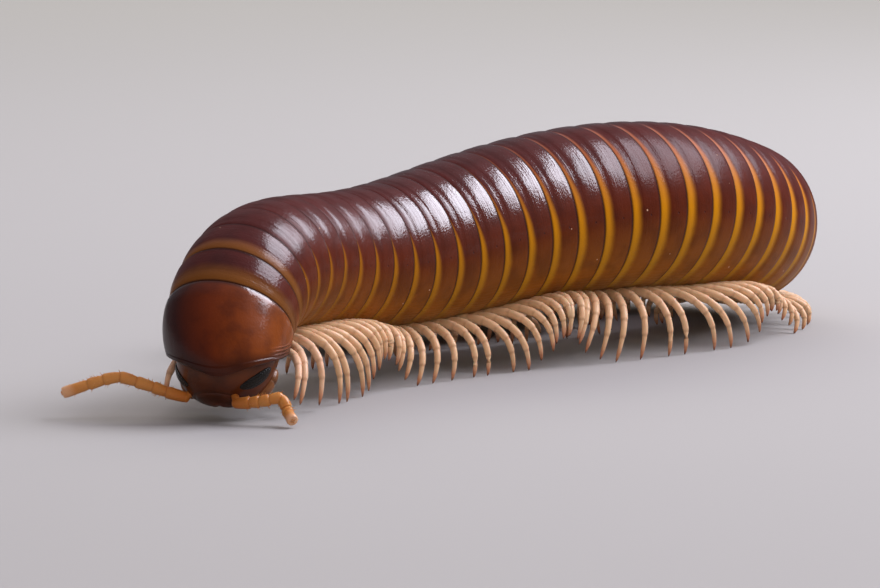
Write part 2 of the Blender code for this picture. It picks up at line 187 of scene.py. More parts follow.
@dataclass
class BodyAxis:
    """The body's route over the floor, and its thickness."""

    heading: Curve = field(default_factory=lambda: Curve({
        0: 75, 2: 70, 4: 69, 6: 67, 9: 56.5, 13: 46.5, 18: 38, 23: 51, 27: 69,
        30: 104, 33: 162, 36: 214, 38: 241, 40: 247, 43: 234, 46: 224, 50: 222,
    }))
    pitch: Curve = field(default_factory=lambda: Curve({
        0: 61, 2: 35, 4: 9.5, 7: -5, 12: 5, 18: 4, 24: -9, 27: -10.5, 29: -5, 31: 0, 36: -1, 42: -4, 50: -6,
    }))
    radius: Curve = field(default_factory=lambda: Curve({
        1: 4.25, 4: 4.3, 8: 4.6, 14: 5.45, 20: 6.0, 28: 5.9, 36: 5.8, 42: 5.3, 46: 4.6, 50: 3.6,
    }))
    neck_ring: float = 1.8
    neck_ends: float = 3
    ring_full: float = 6
    height_ratio: float = 1.02
    mid_station: int = 10
    mid_point: Point = (-7.63, -11.90, 8.21)
    steps: int = 8

    def __post_init__(self) -> None:
        """Lays out the axis points."""
        middles = (np.arange((RINGS + 2) * self.steps) + 0.5) / self.steps
        strides = self.tailward(middles) * self.ring_length(middles)[:, None] / self.steps
        points = np.vstack([np.zeros(3), np.cumsum(strides, axis=0)])
        self.points = points + np.array(self.mid_point) - points[self.mid_station * self.steps]

    def ring_length(self, station: Array) -> Array:
        """The distance along the axis that one ring takes up there."""
        return np.interp(station, (self.neck_ends, self.ring_full), (self.neck_ring, RING))

    def tailward(self, station: Array) -> Array:
        """The unit direction of the axis towards the tail.

        Args:
            station: Stations in one row.

        Returns:
            A direction for each.
        """
        turn = np.radians(self.heading(station))
        rise = np.radians(self.pitch(station))
        return np.stack([np.cos(turn) * np.cos(rise), np.sin(turn) * np.cos(rise), np.sin(rise)], -1)

    def at(self, station: Array | float) -> Place:
        """The axis at some stations.

        Args:
            station: One station or a row of them.

        Returns:
            The points and directions there.
        """
        station = np.atleast_1d(np.asarray(station, float))
        place = np.clip(station, 0, RINGS + 2) * self.steps
        low = np.minimum(place.astype(int), len(self.points) - 2)
        share = (place - low)[:, None]
        centre = self.points[low] * (1 - share) + self.points[low + 1] * share
        tailward = self.tailward(station)
        left = unit(np.cross(tailward, (0, 0, 1)))
        return Place(centre, tailward, left, unit(np.cross(left, tailward)))

    def surface(self, station: Array, angle: Array, share: Array) -> Array:
        """Points on the body.

        Args:
            station: One station to a row.
            angle: Degrees from the back towards the left side, one to a column.
            share: The share of the body's radius, for each row or each row and column.

        Returns:
            The points, in rows and columns.
        """
        place = self.at(station)
        turn = np.radians(angle)[None, :, None]
        share = share if share.ndim == 2 else share[:, None]
        radius = (share * self.radius(station)[:, None])[:, :, None]
        across = self.height_ratio * np.cos(turn) * place.back[:, None] + np.sin(turn) * place.left[:, None]
        return place.centre[:, None] + radius * across


def add_node(
    material: Material,
    kind: str,
    feeds: dict[int | str, Feed] | tuple[Feed, ...] = (),
    out: int | str = 0,
    stops: Stops = (),
    **settings: str | bool,
) -> Socket:
    """Adds a node with its settings and links.

    Args:
        material: The material that gets the node.
        kind: The node's type name, without the leading ShaderNode.
        feeds: What each input gets, in order or by name: a socket, a number or an sRGB hex colour.
        out: The output that is wanted.
        stops: A colour ramp's stops, in order.
        settings: The node's own properties.

    Returns:
        The output's socket.
    """
    node = material.node_tree.nodes.new("ShaderNode" + kind)
    for name, value in settings.items():
        setattr(node, name, value)
    for name, value in feeds.items() if isinstance(feeds, dict) else enumerate(feeds):
        if isinstance(value, Socket):
            material.node_tree.links.new(value, node.inputs[name])
        else:
            node.inputs[name].default_value = linear(value) if isinstance(value, str) else value
    for i, (place, code) in enumerate(stops):
        line = node.color_ramp.elements
        element = line[i] if i < 2 else line.new(place)
        element.position, element.color = place, linear(code)
    return node.outputs[out]


def per_mm(size: float) -> float:
    """The scale that makes a texture repeat at a real size in millimetres."""
    return 1 / (size * MM)


SMOOTH = {"interpolation_type": "SMOOTHSTEP"}
COLOURS = {"data_type": "RGBA"}
TIMES = {"operation": "MULTIPLY"}
TIMES_PLUS = {"operation": "MULTIPLY_ADD"}
MINUS = {"operation": "SUBTRACT"}


@dataclass(frozen=True)
class Cuticle:
    """A chitin surface: what all the finishes share.

    Chitin is clear and shines like horn, so its pigment shows deep under a thin gloss.
    """

    name: str
    roughness: float = 0.42
    gloss: float = 0.06  # how much the pigment layer itself shines
    coat: float = 0.8
    coat_roughness: float = 0.2
    coat_ior: float = 1.5
    ior: float = 1.56
    soft: float = 0.0  # how much light goes in, and how deep
    soft_mm: float = 0.4
    mottle_mm: float = 1.6
    mottle_detail: float = 3.0
    mottle_height: float = 2.0  # in grains, as the other heights are
    patches: Ramp = (0.42, 0.75, 0.0, 0.5)  # where the mottling darkens
    grain_mm: float = 0.16
    relief_mm: float = 0.009
    dust_mm: float = 0.9  # between the places of specks
    dust_share: float = 0.25  # of those places, that have a speck
    dust_size_mm: float = 0.08
    dust_height: float = 4.0
    dust_colour: str = "#C9A184"

    def start(self, *marks: Mark) -> tuple[Material, *tuple[Socket, ...]]:
        """Makes the material.

        Args:
            marks: The surface values that the finish reads.

        Returns:
            The material, and the sockets of places on the animal, mottling, its dark patches and each mark.
        """
        material = bpy.data.materials.new(self.name)
        material.use_nodes = True
        shader = material.node_tree.nodes["Principled BSDF"]
        for socket, value in (
            ("Roughness", self.roughness), ("IOR", self.ior), ("Specular IOR Level", self.gloss),
            ("Coat Weight", self.coat), ("Coat Roughness", self.coat_roughness), ("Coat IOR", self.coat_ior),
            ("Subsurface Weight", self.soft), ("Subsurface Scale", self.soft_mm * MM),
        ):
            shader.inputs[socket].default_value = value
        add = partial(add_node, material)
        place = add("TexCoord", out="Object")
        cloud = add("TexNoise", {
            "Vector": place, "Scale": per_mm(self.mottle_mm), "Detail": self.mottle_detail,
        })
        patches = add("MapRange", (cloud, *self.patches), **SMOOTH)
        return material, place, cloud, patches, *(
            add("Attribute", out="Fac", attribute_name=mark.value) for mark in marks
        )

    def finish(
        self,
        material: Material,
        place: Socket,
        colour: Feed,
        layers: tuple[Layer, ...],
        heights: tuple[tuple[Socket, float], ...],
        coat: Socket | None = None,
    ) -> Material:
        """Lays colours over each other, adds specks and grain, and links the shader.

        Args:
            material: The material.
            place: Places on the animal.
            colour: The colour underneath.
            layers: Masks and the colours that they show, from the bottom up.
            heights: Relief and how many grains high each is.
            coat: Where the surface is glossy, if not everywhere alike.

        Returns:
            The material.
        """
        add = partial(add_node, material)
        near = {"Vector": place, "Scale": per_mm(self.dust_mm)}
        spacing = add("TexVoronoi", near, "Distance")
        chance = add("SeparateColor", (add("TexVoronoi", near, "Color"),))
        size = add("MapRange", (chance, 1 - self.dust_share, 1.0, 0.0, self.dust_size_mm / self.dust_mm))
        dust = add("Math", (spacing, size), operation="LESS_THAN")
        for share, tone in (*layers, (dust, self.dust_colour)):
            colour = add("Mix", {0: share, 6: colour, 7: tone}, 2, **COLOURS)
        height = add("TexNoise", {"Vector": place, "Scale": per_mm(self.grain_mm)})
        for relief, weight in (*heights, (dust, self.dust_height)):
            height = add("Math", (relief, weight, height), **TIMES_PLUS)
        bump = add("Bump", {"Height": height, "Distance": self.relief_mm * MM, "Strength": 1.0})
        links = [("Base Color", colour), ("Normal", bump), ("Coat Normal", bump)]
        if coat:
            links.append(("Coat Weight", coat))
        shader = material.node_tree.nodes["Principled BSDF"]
        for socket, source in links:
            material.node_tree.links.new(source, shader.inputs[socket])
        return material


@dataclass(frozen=True)
class RingCuticle(Cuticle):
    """Waxed, hardened chitin of the rings, grown and not made.

    The eye sees a soft gloss over dark red-brown, and a duller, paler orange where a ring slides under the
    next. Places along a ring run from its front seam to its rear rim, and places around it from the back to
    the belly, both from 0 to 1.
    """

    mottle_height: float = 1.6
    patches: Ramp = (0.35, 0.7, 0.0, 0.3)
    shell: Stops = (
        (0.0, "#45201E"), (0.26, "#501A14"), (0.5, "#5A220A"), (0.74, "#90541A"), (1.0, "#A88048"),
    )
    # the band from the back to the belly: the pinkish brown at the back is a painted reflection of the pale
    # light above, the rest the band's own orange to ochre
    band: Stops = (
        (0.0, "#8A5C54"), (0.24, "#AA5E32"), (0.48, "#C8820A"), (0.72, "#B07A1C"), (1.0, "#96703C"),
    )
    neck: str = "#70421A"  # the band of the first rings
    # near-black brown of the rims and pores, also the colour of the painted seam shadow and rim shade
    rim: str = "#240C0A"
    # the rear rim's own darker brown, deepened by painted shade where the rim rolls down into the seam
    rim_dark_and_shade: Ramp = (0.88, 0.96, 0.0, 0.9)
    # painted shadow in the seam under the rim of the ring ahead
    painted_seam_shadow: Ramp = (0.08, 0.01, 0.0, 0.95)
    band_front: Pair = (0.02, 0.22)  # a front ring's band on the back and on the flank, as shares of a ring
    band_rear: Pair = (0.12, 0.25)
    front_widens: Pair = (0.3, 0.6)  # between the back and the belly
    rear_widens: Pair = (0.14, 0.46)
    band_grows: Pair = (10, 22)  # from ring to ring
    band_shows: Pair = (4.5, 18)
    band_faint: float = 0.4
    band_fades: Pair = (1.8, 0.7)  # in widths of the band
    band_wobble: float = 0.35
    neck_rings: Pair = (3.1, 2.0)
    neck_width: float = 0.36
    girth_mm: float = 17.0  # half the way round
    striae_mm: float = 0.3
    striae_span: Pair = (0.55, 0.85)
    striae_height: float = 0.3
    streak_mm: float = 0.1
    streak_length_mm: float = 3.0
    streak_shift: float = 3.0  # from ring to ring
    streak_detail: float = 2.0
    streak_height: float = 0.8
    pore_along: float = 0.62
    pore_around: float = 0.5
    pore_mm: float = 0.09
    pore_depth: float = 2.0
    gloss_sides: Pair = (0.53, 0.38)  # the flank is glossy above this
    gloss_under: float = 0.03
    gloss_front: Ramp = (0.08, 0.3, 0.1, 1.0)
    gloss_rear: Ramp = (0.97, 0.91, 0.05, 1.0)
    gloss_streaks: Ramp = (0.3, 0.6, 0.6, 1.0)
    dull_rings: Pair = (15.5, 20.5)  # where the gloss wears off, apart from the middle of the back
    dull_sides: Pair = (0.0, 0.12)
    dull: float = 0.08
    fresh_rings: Pair = (7, 13)  # where it comes to its full shine
    fresh: float = 0.36

    def make(self) -> Material:
        """Builds the ring material.

        Returns:
            The material.
        """
        marks = (Mark.ALONG, Mark.AROUND, Mark.STATION)
        material, place, cloud, patches, along, around, station = self.start(*marks)
        add = partial(add_node, material)
        front, rear = (
            add("MapRange", (around, *span, *widths), **SMOOTH)
            for span, widths in ((self.front_widens, self.band_front), (self.rear_widens, self.band_rear))
        )
        grown = add("MapRange", (station, *self.band_grows), **SMOOTH)
        neck = add("MapRange", (station, *self.neck_rings), **SMOOTH)
        width = add("Mix", {0: grown, 2: front, 3: rear})
        width = add("Mix", {0: neck, 2: width, 3: self.neck_width})
        share = add("Math", (along, width), operation="DIVIDE")
        edge = add("Math", (cloud, self.band_wobble, share), **TIMES_PLUS)
        inside = add("MapRange", (edge, *self.band_fades), **SMOOTH)
        shown = add("MapRange", (station, *self.band_shows, self.band_faint, 1.0), **SMOOTH)
        shown = add("Math", (shown, neck), operation="MAXIMUM")
        band_here = add("Math", (inside, shown), **TIMES)
        band = add("ValToRGB", (around,), stops=self.band)
        band = add("Mix", {0: neck, 6: band, 7: self.neck}, 2, **COLOURS)
        # darkens each rear rim: its own darker brown, with painted shade at the seam
        shaded_dark_rim = add("MapRange", (along, *self.rim_dark_and_shade), **SMOOTH)
        # painted shadow at each ring's front seam, under the rim of the ring ahead
        groove = add("MapRange", (along, *self.painted_seam_shadow), **SMOOTH)
        spot = add("CombineXYZ", (
            add("Math", (add("Math", (along, self.pore_along), **MINUS), RING), **TIMES),
            add("Math", (add("Math", (around, self.pore_around), **MINUS), self.girth_mm), **TIMES),
        ))
        reach = add("VectorMath", (spot,), "Value", operation="LENGTH")
        pore = add("MapRange", (reach, self.pore_mm, 0.0), **SMOOTH)
        turns = add("Math", (around, 2 * math.pi * self.girth_mm / self.striae_mm), **TIMES)
        striae = add("Math", (
            add("Math", (turns,), operation="SINE"),
            add("MapRange", (around, *self.striae_span), **SMOOTH),
        ), **TIMES)
        streaks = add("TexNoise", {"Scale": 1.0, "Detail": self.streak_detail, "Vector": add("CombineXYZ", (
            add("Math", (along, RING / self.streak_mm), **TIMES),
            add("Math", (around, self.girth_mm / self.streak_length_mm), **TIMES),
            add("Math", (station, self.streak_shift), **TIMES),
        ))})
        coat = add("MapRange", (around, *self.gloss_sides, self.gloss_under, self.coat), **SMOOTH)
        worn_off = add("MapRange", (station, *self.dull_rings, 0.0, self.dull - 1), **SMOOTH)
        sideways = add("MapRange", (around, *self.dull_sides), **SMOOTH)
        for share in (
            add("MapRange", (along, *self.gloss_front), **SMOOTH),
            add("MapRange", (along, *self.gloss_rear), **SMOOTH),
            add("MapRange", (streaks, *self.gloss_streaks)),
            add("MapRange", (station, *self.fresh_rings, self.fresh, 1.0), **SMOOTH),
            add("Math", (worn_off, sideways, 1.0), **TIMES_PLUS),
        ):
            coat = add("Math", (coat, share), **TIMES)
        return self.finish(
            material, place, add("ValToRGB", (around,), stops=self.shell),
            (
                (patches, self.rim), (band_here, band), (shaded_dark_rim, self.rim), (groove, self.rim),
                (pore, self.rim),
            ),
            (
                (striae, self.striae_height), (streaks, self.streak_height), (pore, -self.pore_depth),
                (cloud, self.mottle_height),
            ),
            coat,
        )


@dataclass(frozen=True)
class ShieldCuticle(Cuticle):
    """Polished chitin of the shield behind the head.

    The eye sees one clear gloss over a red-brown, with painted shade that darkens it towards its right end
    and painted light that warms it towards its left end, which faces the side light. Places around it run
    from its right end to its left, and margin, bead and grooves are in millimetres from its front margin.
    """

    mottle_height: float = 4.0
    # from its right end to its left: the near-black at the right end is painted shade and the warm brown at
    # the left end painted light; the red-brown between is its own colour
    shell: Stops = (
        (0.0, "#341410"), (0.34, "#341410"), (0.5, "#64280F"), (0.8, "#7C3C0F"), (1.0, "#7C3C0F"),
    )
    dark: str = "#341410"
    rim: str = "#2A100A"
    margin: Ramp = (1.1, 0.1, 0.0, 0.75)
    rear: Ramp = (0.08, 0.0, 0.0, 0.85)
    middle: float = 0.5
    lobes: Pair = (0.28, 0.4)  # from the middle to either end
    groove_mm: float = 0.3
    grooves: int = 4
    groove_fades: float = 0.8
    groove_height: float = 5.0
    bead: Pair = (0.32, 0.2)
    bead_height: float = 6.0
    polished: Pair = (0.07, 0.22)  # from the rear rim forwards
    polish: float = 0.22

    def make(self) -> Material:
        """Builds the shield material.

        Returns:
            The material.
        """
        marks = (Mark.EDGE, Mark.AROUND, Mark.ALONG)
        material, place, cloud, patches, edge, around, along = self.start(*marks)
        add = partial(add_node, material)
        margin = add("MapRange", (edge, *self.margin), **SMOOTH)
        rear = add("MapRange", (along, *self.rear), **SMOOTH)
        aside = add("Math", (add("Math", (around, self.middle), **MINUS),), operation="ABSOLUTE")
        turns = add("Math", (edge, 2 * math.pi / self.groove_mm), **TIMES)
        reach = self.groove_mm * self.grooves
        grooved = add("Math", (
            add("MapRange", (edge, reach, reach * self.groove_fades), **SMOOTH),
            add("MapRange", (aside, *self.lobes), **SMOOTH),
        ), **TIMES)
        grooves = add("Math", (add("Math", (turns,), operation="SINE"), grooved), **TIMES)
        bead = add("MapRange", (edge, *self.bead), **SMOOTH)
        return self.finish(
            material, place, add("ValToRGB", (around,), stops=self.shell),
            ((patches, self.dark), (margin, self.rim), (rear, self.rim)),
            ((grooves, self.groove_height), (bead, self.bead_height), (cloud, self.mottle_height)),
            add("MapRange", (along, *self.polished, self.coat, self.polish), **SMOOTH),
        )


@dataclass(frozen=True)
class HeadCuticle(Cuticle):
    """Hardened chitin of the head, near black with a brown glow under the shield and at the mouth."""

    shell: Stops = (
        (0.0, "#6A2A10"), (0.14, "#4A2210"), (0.42, "#4A2210"), (0.62, "#5C2C0E"), (1.0, "#5C2C0E"),
    )  # from the mouth to the crown
    dark: str = "#1A0906"
    pit_mm: float = 0.45
    pits: Pair = (0.05, 0.2)
    pit_depth: float = 1.5

    def make(self) -> Material:
        """Builds the head material.

        Returns:
            The material.
        """
        material, place, cloud, patches, tint = self.start(Mark.TINT)
        add = partial(add_node, material)
        spacing = add("TexVoronoi", {"Vector": place, "Scale": per_mm(self.pit_mm)}, "Distance")
        pits = add("MapRange", (spacing, *self.pits), **SMOOTH)
        return self.finish(
            material, place, add("ValToRGB", (tint,), stops=self.shell),
            ((patches, self.dark),), ((pits, self.pit_depth), (cloud, self.mottle_height)),
        )


@dataclass(frozen=True)
class LimbCuticle(Cuticle):
    """Thin, paler chitin of legs and feelers: a satin skin with light going into it."""

    mottle_height: float = 3.0
    patches: Ramp = (0.4, 0.75, 0.0, 0.4)
    root: str = "#C29A72"
    middle: str = "#D8B08A"
    tip: str = "#BC8060"
    claw: str = "#4A2014"
    places: tuple[float, ...] = (0.0, 0.35, 0.88, 0.96, 1.0)  # of those colours, the middle's from and to
    joint: str = "#9A6A4C"
    joint_share: float = 0.35

    def make(self) -> Material:
        """Builds the limb material.

        Returns:
            The material.
        """
        material, place, cloud, patches, along, joint = self.start(Mark.ALONG, Mark.EDGE)
        stops = tuple(zip(self.places, (self.root, self.middle, self.middle, self.tip, self.claw)))
        ringed = add_node(material, "Math", (joint, self.joint_share), **TIMES)
        return self.finish(
            material, place, add_node(material, "ValToRGB", (along,), stops=stops),
            ((patches, self.root), (ringed, self.joint)), ((cloud, self.mottle_height),),
        )


@dataclass(frozen=True)
class PlainCuticle(Cuticle):
    """Hardened chitin of one pigment, mottled, for eyes, jaws and the tail's plates."""

    patches: Ramp = (0.4, 0.7, 0.0, 0.7)
    colour: str = "#14120F"
    shade: str = "#0A0807"

    def make(self) -> Material:
        """Builds the material.

        Returns:
            The material.
        """
        material, place, cloud, patches = self.start()
        return self.finish(
            material, place, self.colour, ((patches, self.shade),), ((cloud, self.mottle_height),),
        )


@dataclass(frozen=True)
class PaintedCard:
    """Matt painted board for the studio floor: an even pale ground."""

    name: str = "studio_floor_card"
    colour: str = "#9C9996"
    roughness: float = 0.9
    gloss: float = 0.2

    def make(self) -> Material:
        """Builds the floor material.

        Returns:
            The material.
        """
        material = bpy.data.materials.new(self.name)
        material.use_nodes = True
        shader = material.node_tree.nodes["Principled BSDF"]
        shader.inputs["Base Color"].default_value = linear(self.colour)
        shader.inputs["Roughness"].default_value = self.roughness
        shader.inputs["Specular IOR Level"].default_value = self.gloss
        return material


class Draft:
    """Gathers skins for one mesh, with the values that its finish reads."""

    def __init__(self) -> None:
        """Starts empty."""
        self.points: list[Array] = []
        self.faces: list[tuple[int, ...]] = []
        self.marks: dict[Mark, list[Array]] = {}
        self.count = 0

    def skin(
        self, grid: Array, marks: dict[Mark, Array | float], closed: bool = True, caps: bool = True,
    ) -> None:
        """Adds a skin over rows of points.

        Args:
            grid: Points in rows and columns.
            marks: A value for each point, row, or the whole skin, by mark.
            closed: Whether each row runs round to its start.
            caps: Whether the first and last rows are closed.
        """
        rows, columns = grid.shape[:2]
        index = self.count + np.arange(rows * columns).reshape(rows, columns)
        ends = np.roll(index, -1, axis=1) if closed else index[:, 1:]
        starts = index if closed else index[:, :-1]
        quads = np.stack([starts[:-1], ends[:-1], ends[1:], starts[1:]], -1).reshape(-1, 4)
        self.faces.extend(map(tuple, quads.tolist()))
        if caps:
            self.faces.append(tuple(index[0][::-1].tolist()))
            self.faces.append(tuple(index[-1].tolist()))
        self.points.append(grid.reshape(-1, 3))
        self.count += rows * columns
        for mark, value in marks.items():
            value = np.asarray(value, float)
            if value.ndim == 1:
                value = value[:, None]
            self.marks.setdefault(mark, []).append(np.broadcast_to(value, (rows, columns)).reshape(-1))

    def piece(self, name: str, finish: Material, sharp: float = 40) -> Object:
        """Makes the object.

        Args:
            name: The object's name.
            finish: Its material.
            sharp: Edges bent more than this many degrees show as edges.

        Returns:
            The object.
        """
        mesh = bpy.data.meshes.new(name)
        mesh.from_pydata((np.vstack(self.points) * MM).tolist(), [], self.faces)
        for mark, values in self.marks.items():
            layer = mesh.attributes.new(mark.value, "FLOAT", "POINT")
            layer.data.foreach_set("value", np.concatenate(values).astype(np.float32))
        outward(mesh)
        mesh.shade_smooth()
        mesh.set_sharp_from_angle(angle=math.radians(sharp))
        mesh.materials.append(finish)
        piece = bpy.data.objects.new(name, mesh)
        bpy.context.scene.collection.objects.link(piece)
        return piece


def outward(mesh: bpy.types.Mesh) -> None:
    """Turns a closed mesh's faces outwards where the space that it holds comes out negative.

    Args:
        mesh: The mesh.
    """
    mesh.calc_loop_triangles()
    points = np.empty(len(mesh.vertices) * 3)
    mesh.vertices.foreach_get("co", points)
    corners = np.empty(len(mesh.loop_triangles) * 3, np.int32)
    mesh.loop_triangles.foreach_get("vertices", corners)
    first, second, third = points.reshape(-1, 3)[corners.reshape(-1, 3)].transpose(1, 0, 2)
    if np.einsum("ij,ij->i", first, np.cross(second, third)).sum() < 0:
        mesh.flip_normals()


def tube(points: Array, radii: Array, sides: int) -> Array:
    """Rings of points round a route.

    Args:
        points: The route.
        radii: The radius at each of its points.
        sides: How many points each ring has.

    Returns:
        The points in rows and columns.
    """
    along = unit(np.gradient(points, axis=0))
    first = unit(np.cross(along, (0, 0, 1)))
    second = np.cross(along, first)
    turn = 2 * np.pi * np.arange(sides) / sides
    across = np.cos(turn)[None, :, None] * first[:, None] + np.sin(turn)[None, :, None] * second[:, None]
    return points[:, None] + radii[:, None, None] * across


def place_piece(piece: Object, slot: str, *nodes: str) -> None:
    """Rides a piece on the one body, hides the solids that it stands for and logs it.

    Args:
        piece: The piece.
        slot: The record's material slot; not used.
        nodes: The solids that it stands for.
    """
    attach(piece, "root")
    if nodes:
        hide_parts(*nodes)
    LOG.info("%s: %d faces", piece.name, len(piece.data.polygons))


def down_from_back(angle: Array) -> Array:
    """The share of the way from the back to the belly, at angles in degrees from the back."""
    return np.where(angle > 180, 360 - angle, angle) / 180


@dataclass
class Trunk:
    """The ringed body, in lengths of several rings."""

    axis: BodyAxis
    sides: int = 144
    profile: tuple[Pair, ...] = (
        (0.0, 0.964), (0.05, 0.972), (0.13, 0.979), (0.22, 0.983), (0.3, 0.984), (0.36, 0.991),
        (0.41, 0.996), (0.5, 0.9988), (0.62, 0.9996), (0.75, 1.0), (0.87, 0.9996), (0.93, 0.9975),
        (0.97, 0.992), (1.0, 0.978),
    )  # share of the radius along one ring: neck, suture, swollen rear part, rounded rim
    belly_from: float = 0.84
    belly_flat: float = 0.06
    overlap: float = 0.08  # how far a length reaches into the one ahead
    drawn_in: float = 0.97  # and how much narrower it is there

    def dress(self) -> None:
        """Builds each length in its cuticle."""
        shell = RingCuticle(
            "waxed_ring_cuticle", coat=1.0, coat_roughness=0.14, coat_ior=1.72, relief_mm=0.016,
        ).make()
        for number, first, last in trunk_lengths():
            rings = self.build(f"rings_{number:02d}", first, last, shell)
            place_piece(rings, "trunk_shell", f"trunk_{number:02d}")

    def build(self, name: str, first: int, last: int, finish: Material) -> Object:
        """Builds one length.

        Args:
            name: The piece's name.
            first: Its first ring.
            last: Its last ring.
            finish: The shell's material.

        Returns:
            The piece.
        """
        places, shares = np.array(self.profile).T
        rings = np.arange(first, last + 1)
        station = np.concatenate([[first - 1 - self.overlap], (rings[:, None] - 1 + places[None]).ravel()])
        share = np.concatenate([[shares[0] * self.drawn_in], np.tile(shares, len(rings))])
        along = np.concatenate([[0.0], np.tile(places, len(rings))])
        angle = 360 * np.arange(self.sides) / self.sides
        around = down_from_back(angle)
        flat = 1 - self.belly_flat * smoothstep(around, self.belly_from, 1)
        grid = self.axis.surface(station, angle, share[:, None] * flat[None])
        draft = Draft()
        draft.skin(grid, {
            Mark.ALONG: along,
            Mark.AROUND: np.broadcast_to(around, grid.shape[:2]),
            Mark.STATION: station,
        })
        return draft.piece(name, finish)


def trunk_lengths() -> Iterator[tuple[int, int, int]]:
    """The number, first ring and last ring of each length of the trunk."""
    return zip(range(1, len(TRUNK_ENDS) + 1), (2, *(end + 1 for end in TRUNK_ENDS)), TRUNK_ENDS)


@dataclass
class Legs:
    """The walking legs, whose feet move in waves along the body."""

    axis: BodyAxis
    root_angle: float = 15
    reach_base: float = 2.0
    reach_by_radius: float = 0.72
    inner_tuck: float = 0.32
    outer_tuck: float = 0.3
    tight_bend: float = 0.1
    first_double_ring: int = 5
    single_at: float = 0.4
    double_at: Pair = (0.62, 0.17)
    right_tuck: float = 0.3
    right_tuck_rings: float = 4.0
    hip_out: float = 0.4
    hip_rise: float = 0.3
    hip_swing: float = 0.3
    hip_follows: float = 0.2
    knee_out: float = 0.14
    knee_share: float = 0.9
    knee_height: float = 1.8
    knee_lift: float = 0.7
    knee_holds: float = 0.3
    wave: float = 8.3
    first_swing: float = 8.2
    stance: float = 0.38
    step: float = 3.2
    uneven: float = 0.3
    uneven_rate: float = 4.7
    lift: float = 2.2
    front_lift: float = 1.5
    front_lift_rings: float = 3.5
    sunk: float = 0.8
    sides: int = 12
    joints: tuple[float, ...] = (0.0, 0.15, 0.34, 0.52, 0.68, 0.83, 0.955)
    thickness: tuple[float, ...] = (0.34, 0.33, 0.31, 0.28, 0.24, 0.19, 0.1)
    foot: tuple[Pair, ...] = ((0.97, 0.1), (0.985, 0.08), (1.0, 0.035))
    claw: float = 0.035
    narrowing: float = 0.6  # how much of the change to the next joint's thickness a joint makes itself
    swell: tuple[Pair, ...] = ((0.0, 0.91), (0.12, 0.98), (0.5, 0.99), (0.84, 1.04), (0.97, 0.93))
    sharp: float = 60

    def dress(self) -> None:
        """Builds the legs under each length of the trunk, slightly pinker at the front."""
        satin = {"roughness": 0.42, "coat": 0.25, "coat_roughness": 0.25, "soft": 0.15}
        limb = LimbCuticle("satin_leg_cuticle", **satin).make()
        front = LimbCuticle("front_leg_cuticle", root="#BE926C", middle="#D8B090", **satin).make()
        for number, first, last in trunk_lengths():
            legs = self.build(f"legs_{number:02d}", first, last, front if number == 1 else limb)
            place_piece(legs, "trunk_shell", f"trunk_{number:02d}")

    def inward_bend(self, station: float, side: Side) -> float:
        """How sharply the body bends towards a side, in radians a millimetre."""
        turning = float(self.axis.heading(station + 0.5) - self.axis.heading(station - 0.5))
        return -side.value * math.radians(turning) / float(self.axis.ring_length(station))

    def gait(self, station: float, side: Side) -> tuple[float, float, float]:
        """How far a foot is set back, how high it is lifted and how far its leg is swung up.

        Args:
            station: Where the leg grows.
            side: The animal's left or right.

        Returns:
            The three lengths.
        """
        uneven = self.uneven * math.sin(self.uneven_rate * station + side.value)
        phase = ((station - self.first_swing) / self.wave + (1 - self.stance) / 2 + self.stance) % 1
        front = self.front_lift * max(0, 1 - (station - 1) / self.front_lift_rings)
        if phase < self.stance:
            return self.step * (2 * phase / self.stance - 1) + uneven, front, 0.0
        swing = (phase - self.stance) / (1 - self.stance)
        lift = max(front, self.lift * math.sin(math.pi * swing))
        return self.step * math.cos(math.pi * swing) + uneven, lift, lift - front

    def route(self, station: float, side: Side) -> Line:
        """The line down a leg's middle.

        Args:
            station: Where the leg grows.
            side: The animal's left or right.

        Returns:
            A function of the share of the way from root to foot.
        """
        place = self.axis.at(station)
        centre, tailward, left = place.centre[0], place.tailward[0], place.left[0]
        angle = np.array([side.value * (180.0 - self.root_angle)])
        root = self.axis.surface(np.array([station]), angle, np.array([1.0]))[0, 0]
        out = side.value * unit(left * (1, 1, 0))
        along = unit(tailward * (1, 1, 0))
        bend = self.inward_bend(station, side)
        inner, outer = max(0.0, bend), max(0.0, -bend)
        reach = self.reach_base + self.reach_by_radius * float(self.axis.radius(station))
        reach *= 1 - self.inner_tuck * min(1.0, inner * reach) - self.outer_tuck * min(1.0, outer * reach)
        if side is Side.RIGHT:
            reach *= 1 - self.right_tuck * max(0.0, 1 - (station - 1) / self.right_tuck_rings)
        room = 1 - inner * reach
        step, lift, swing = self.gait(station, side)
        step *= room * room
        foot = centre + out * reach + along * step
        foot[2] = lift
        hip = root + out * self.hip_out * reach + along * self.hip_follows * step
        hip[2] = max(root[2] + self.hip_rise, self.knee_height) + self.hip_swing * swing
        knee = foot + out * self.knee_out * reach - along * self.knee_holds * step
        knee[2] = max(self.knee_share * root[2], self.knee_height) + self.knee_lift * lift

        def line(share: Array) -> Array:
            """Points at shares of the way down the leg."""
            share = np.asarray(share, float)[:, None]
            rest = 1 - share
            return root * rest**3 + hip * 3 * share * rest**2 + knee * 3 * share**2 * rest + foot * share**3

        return line

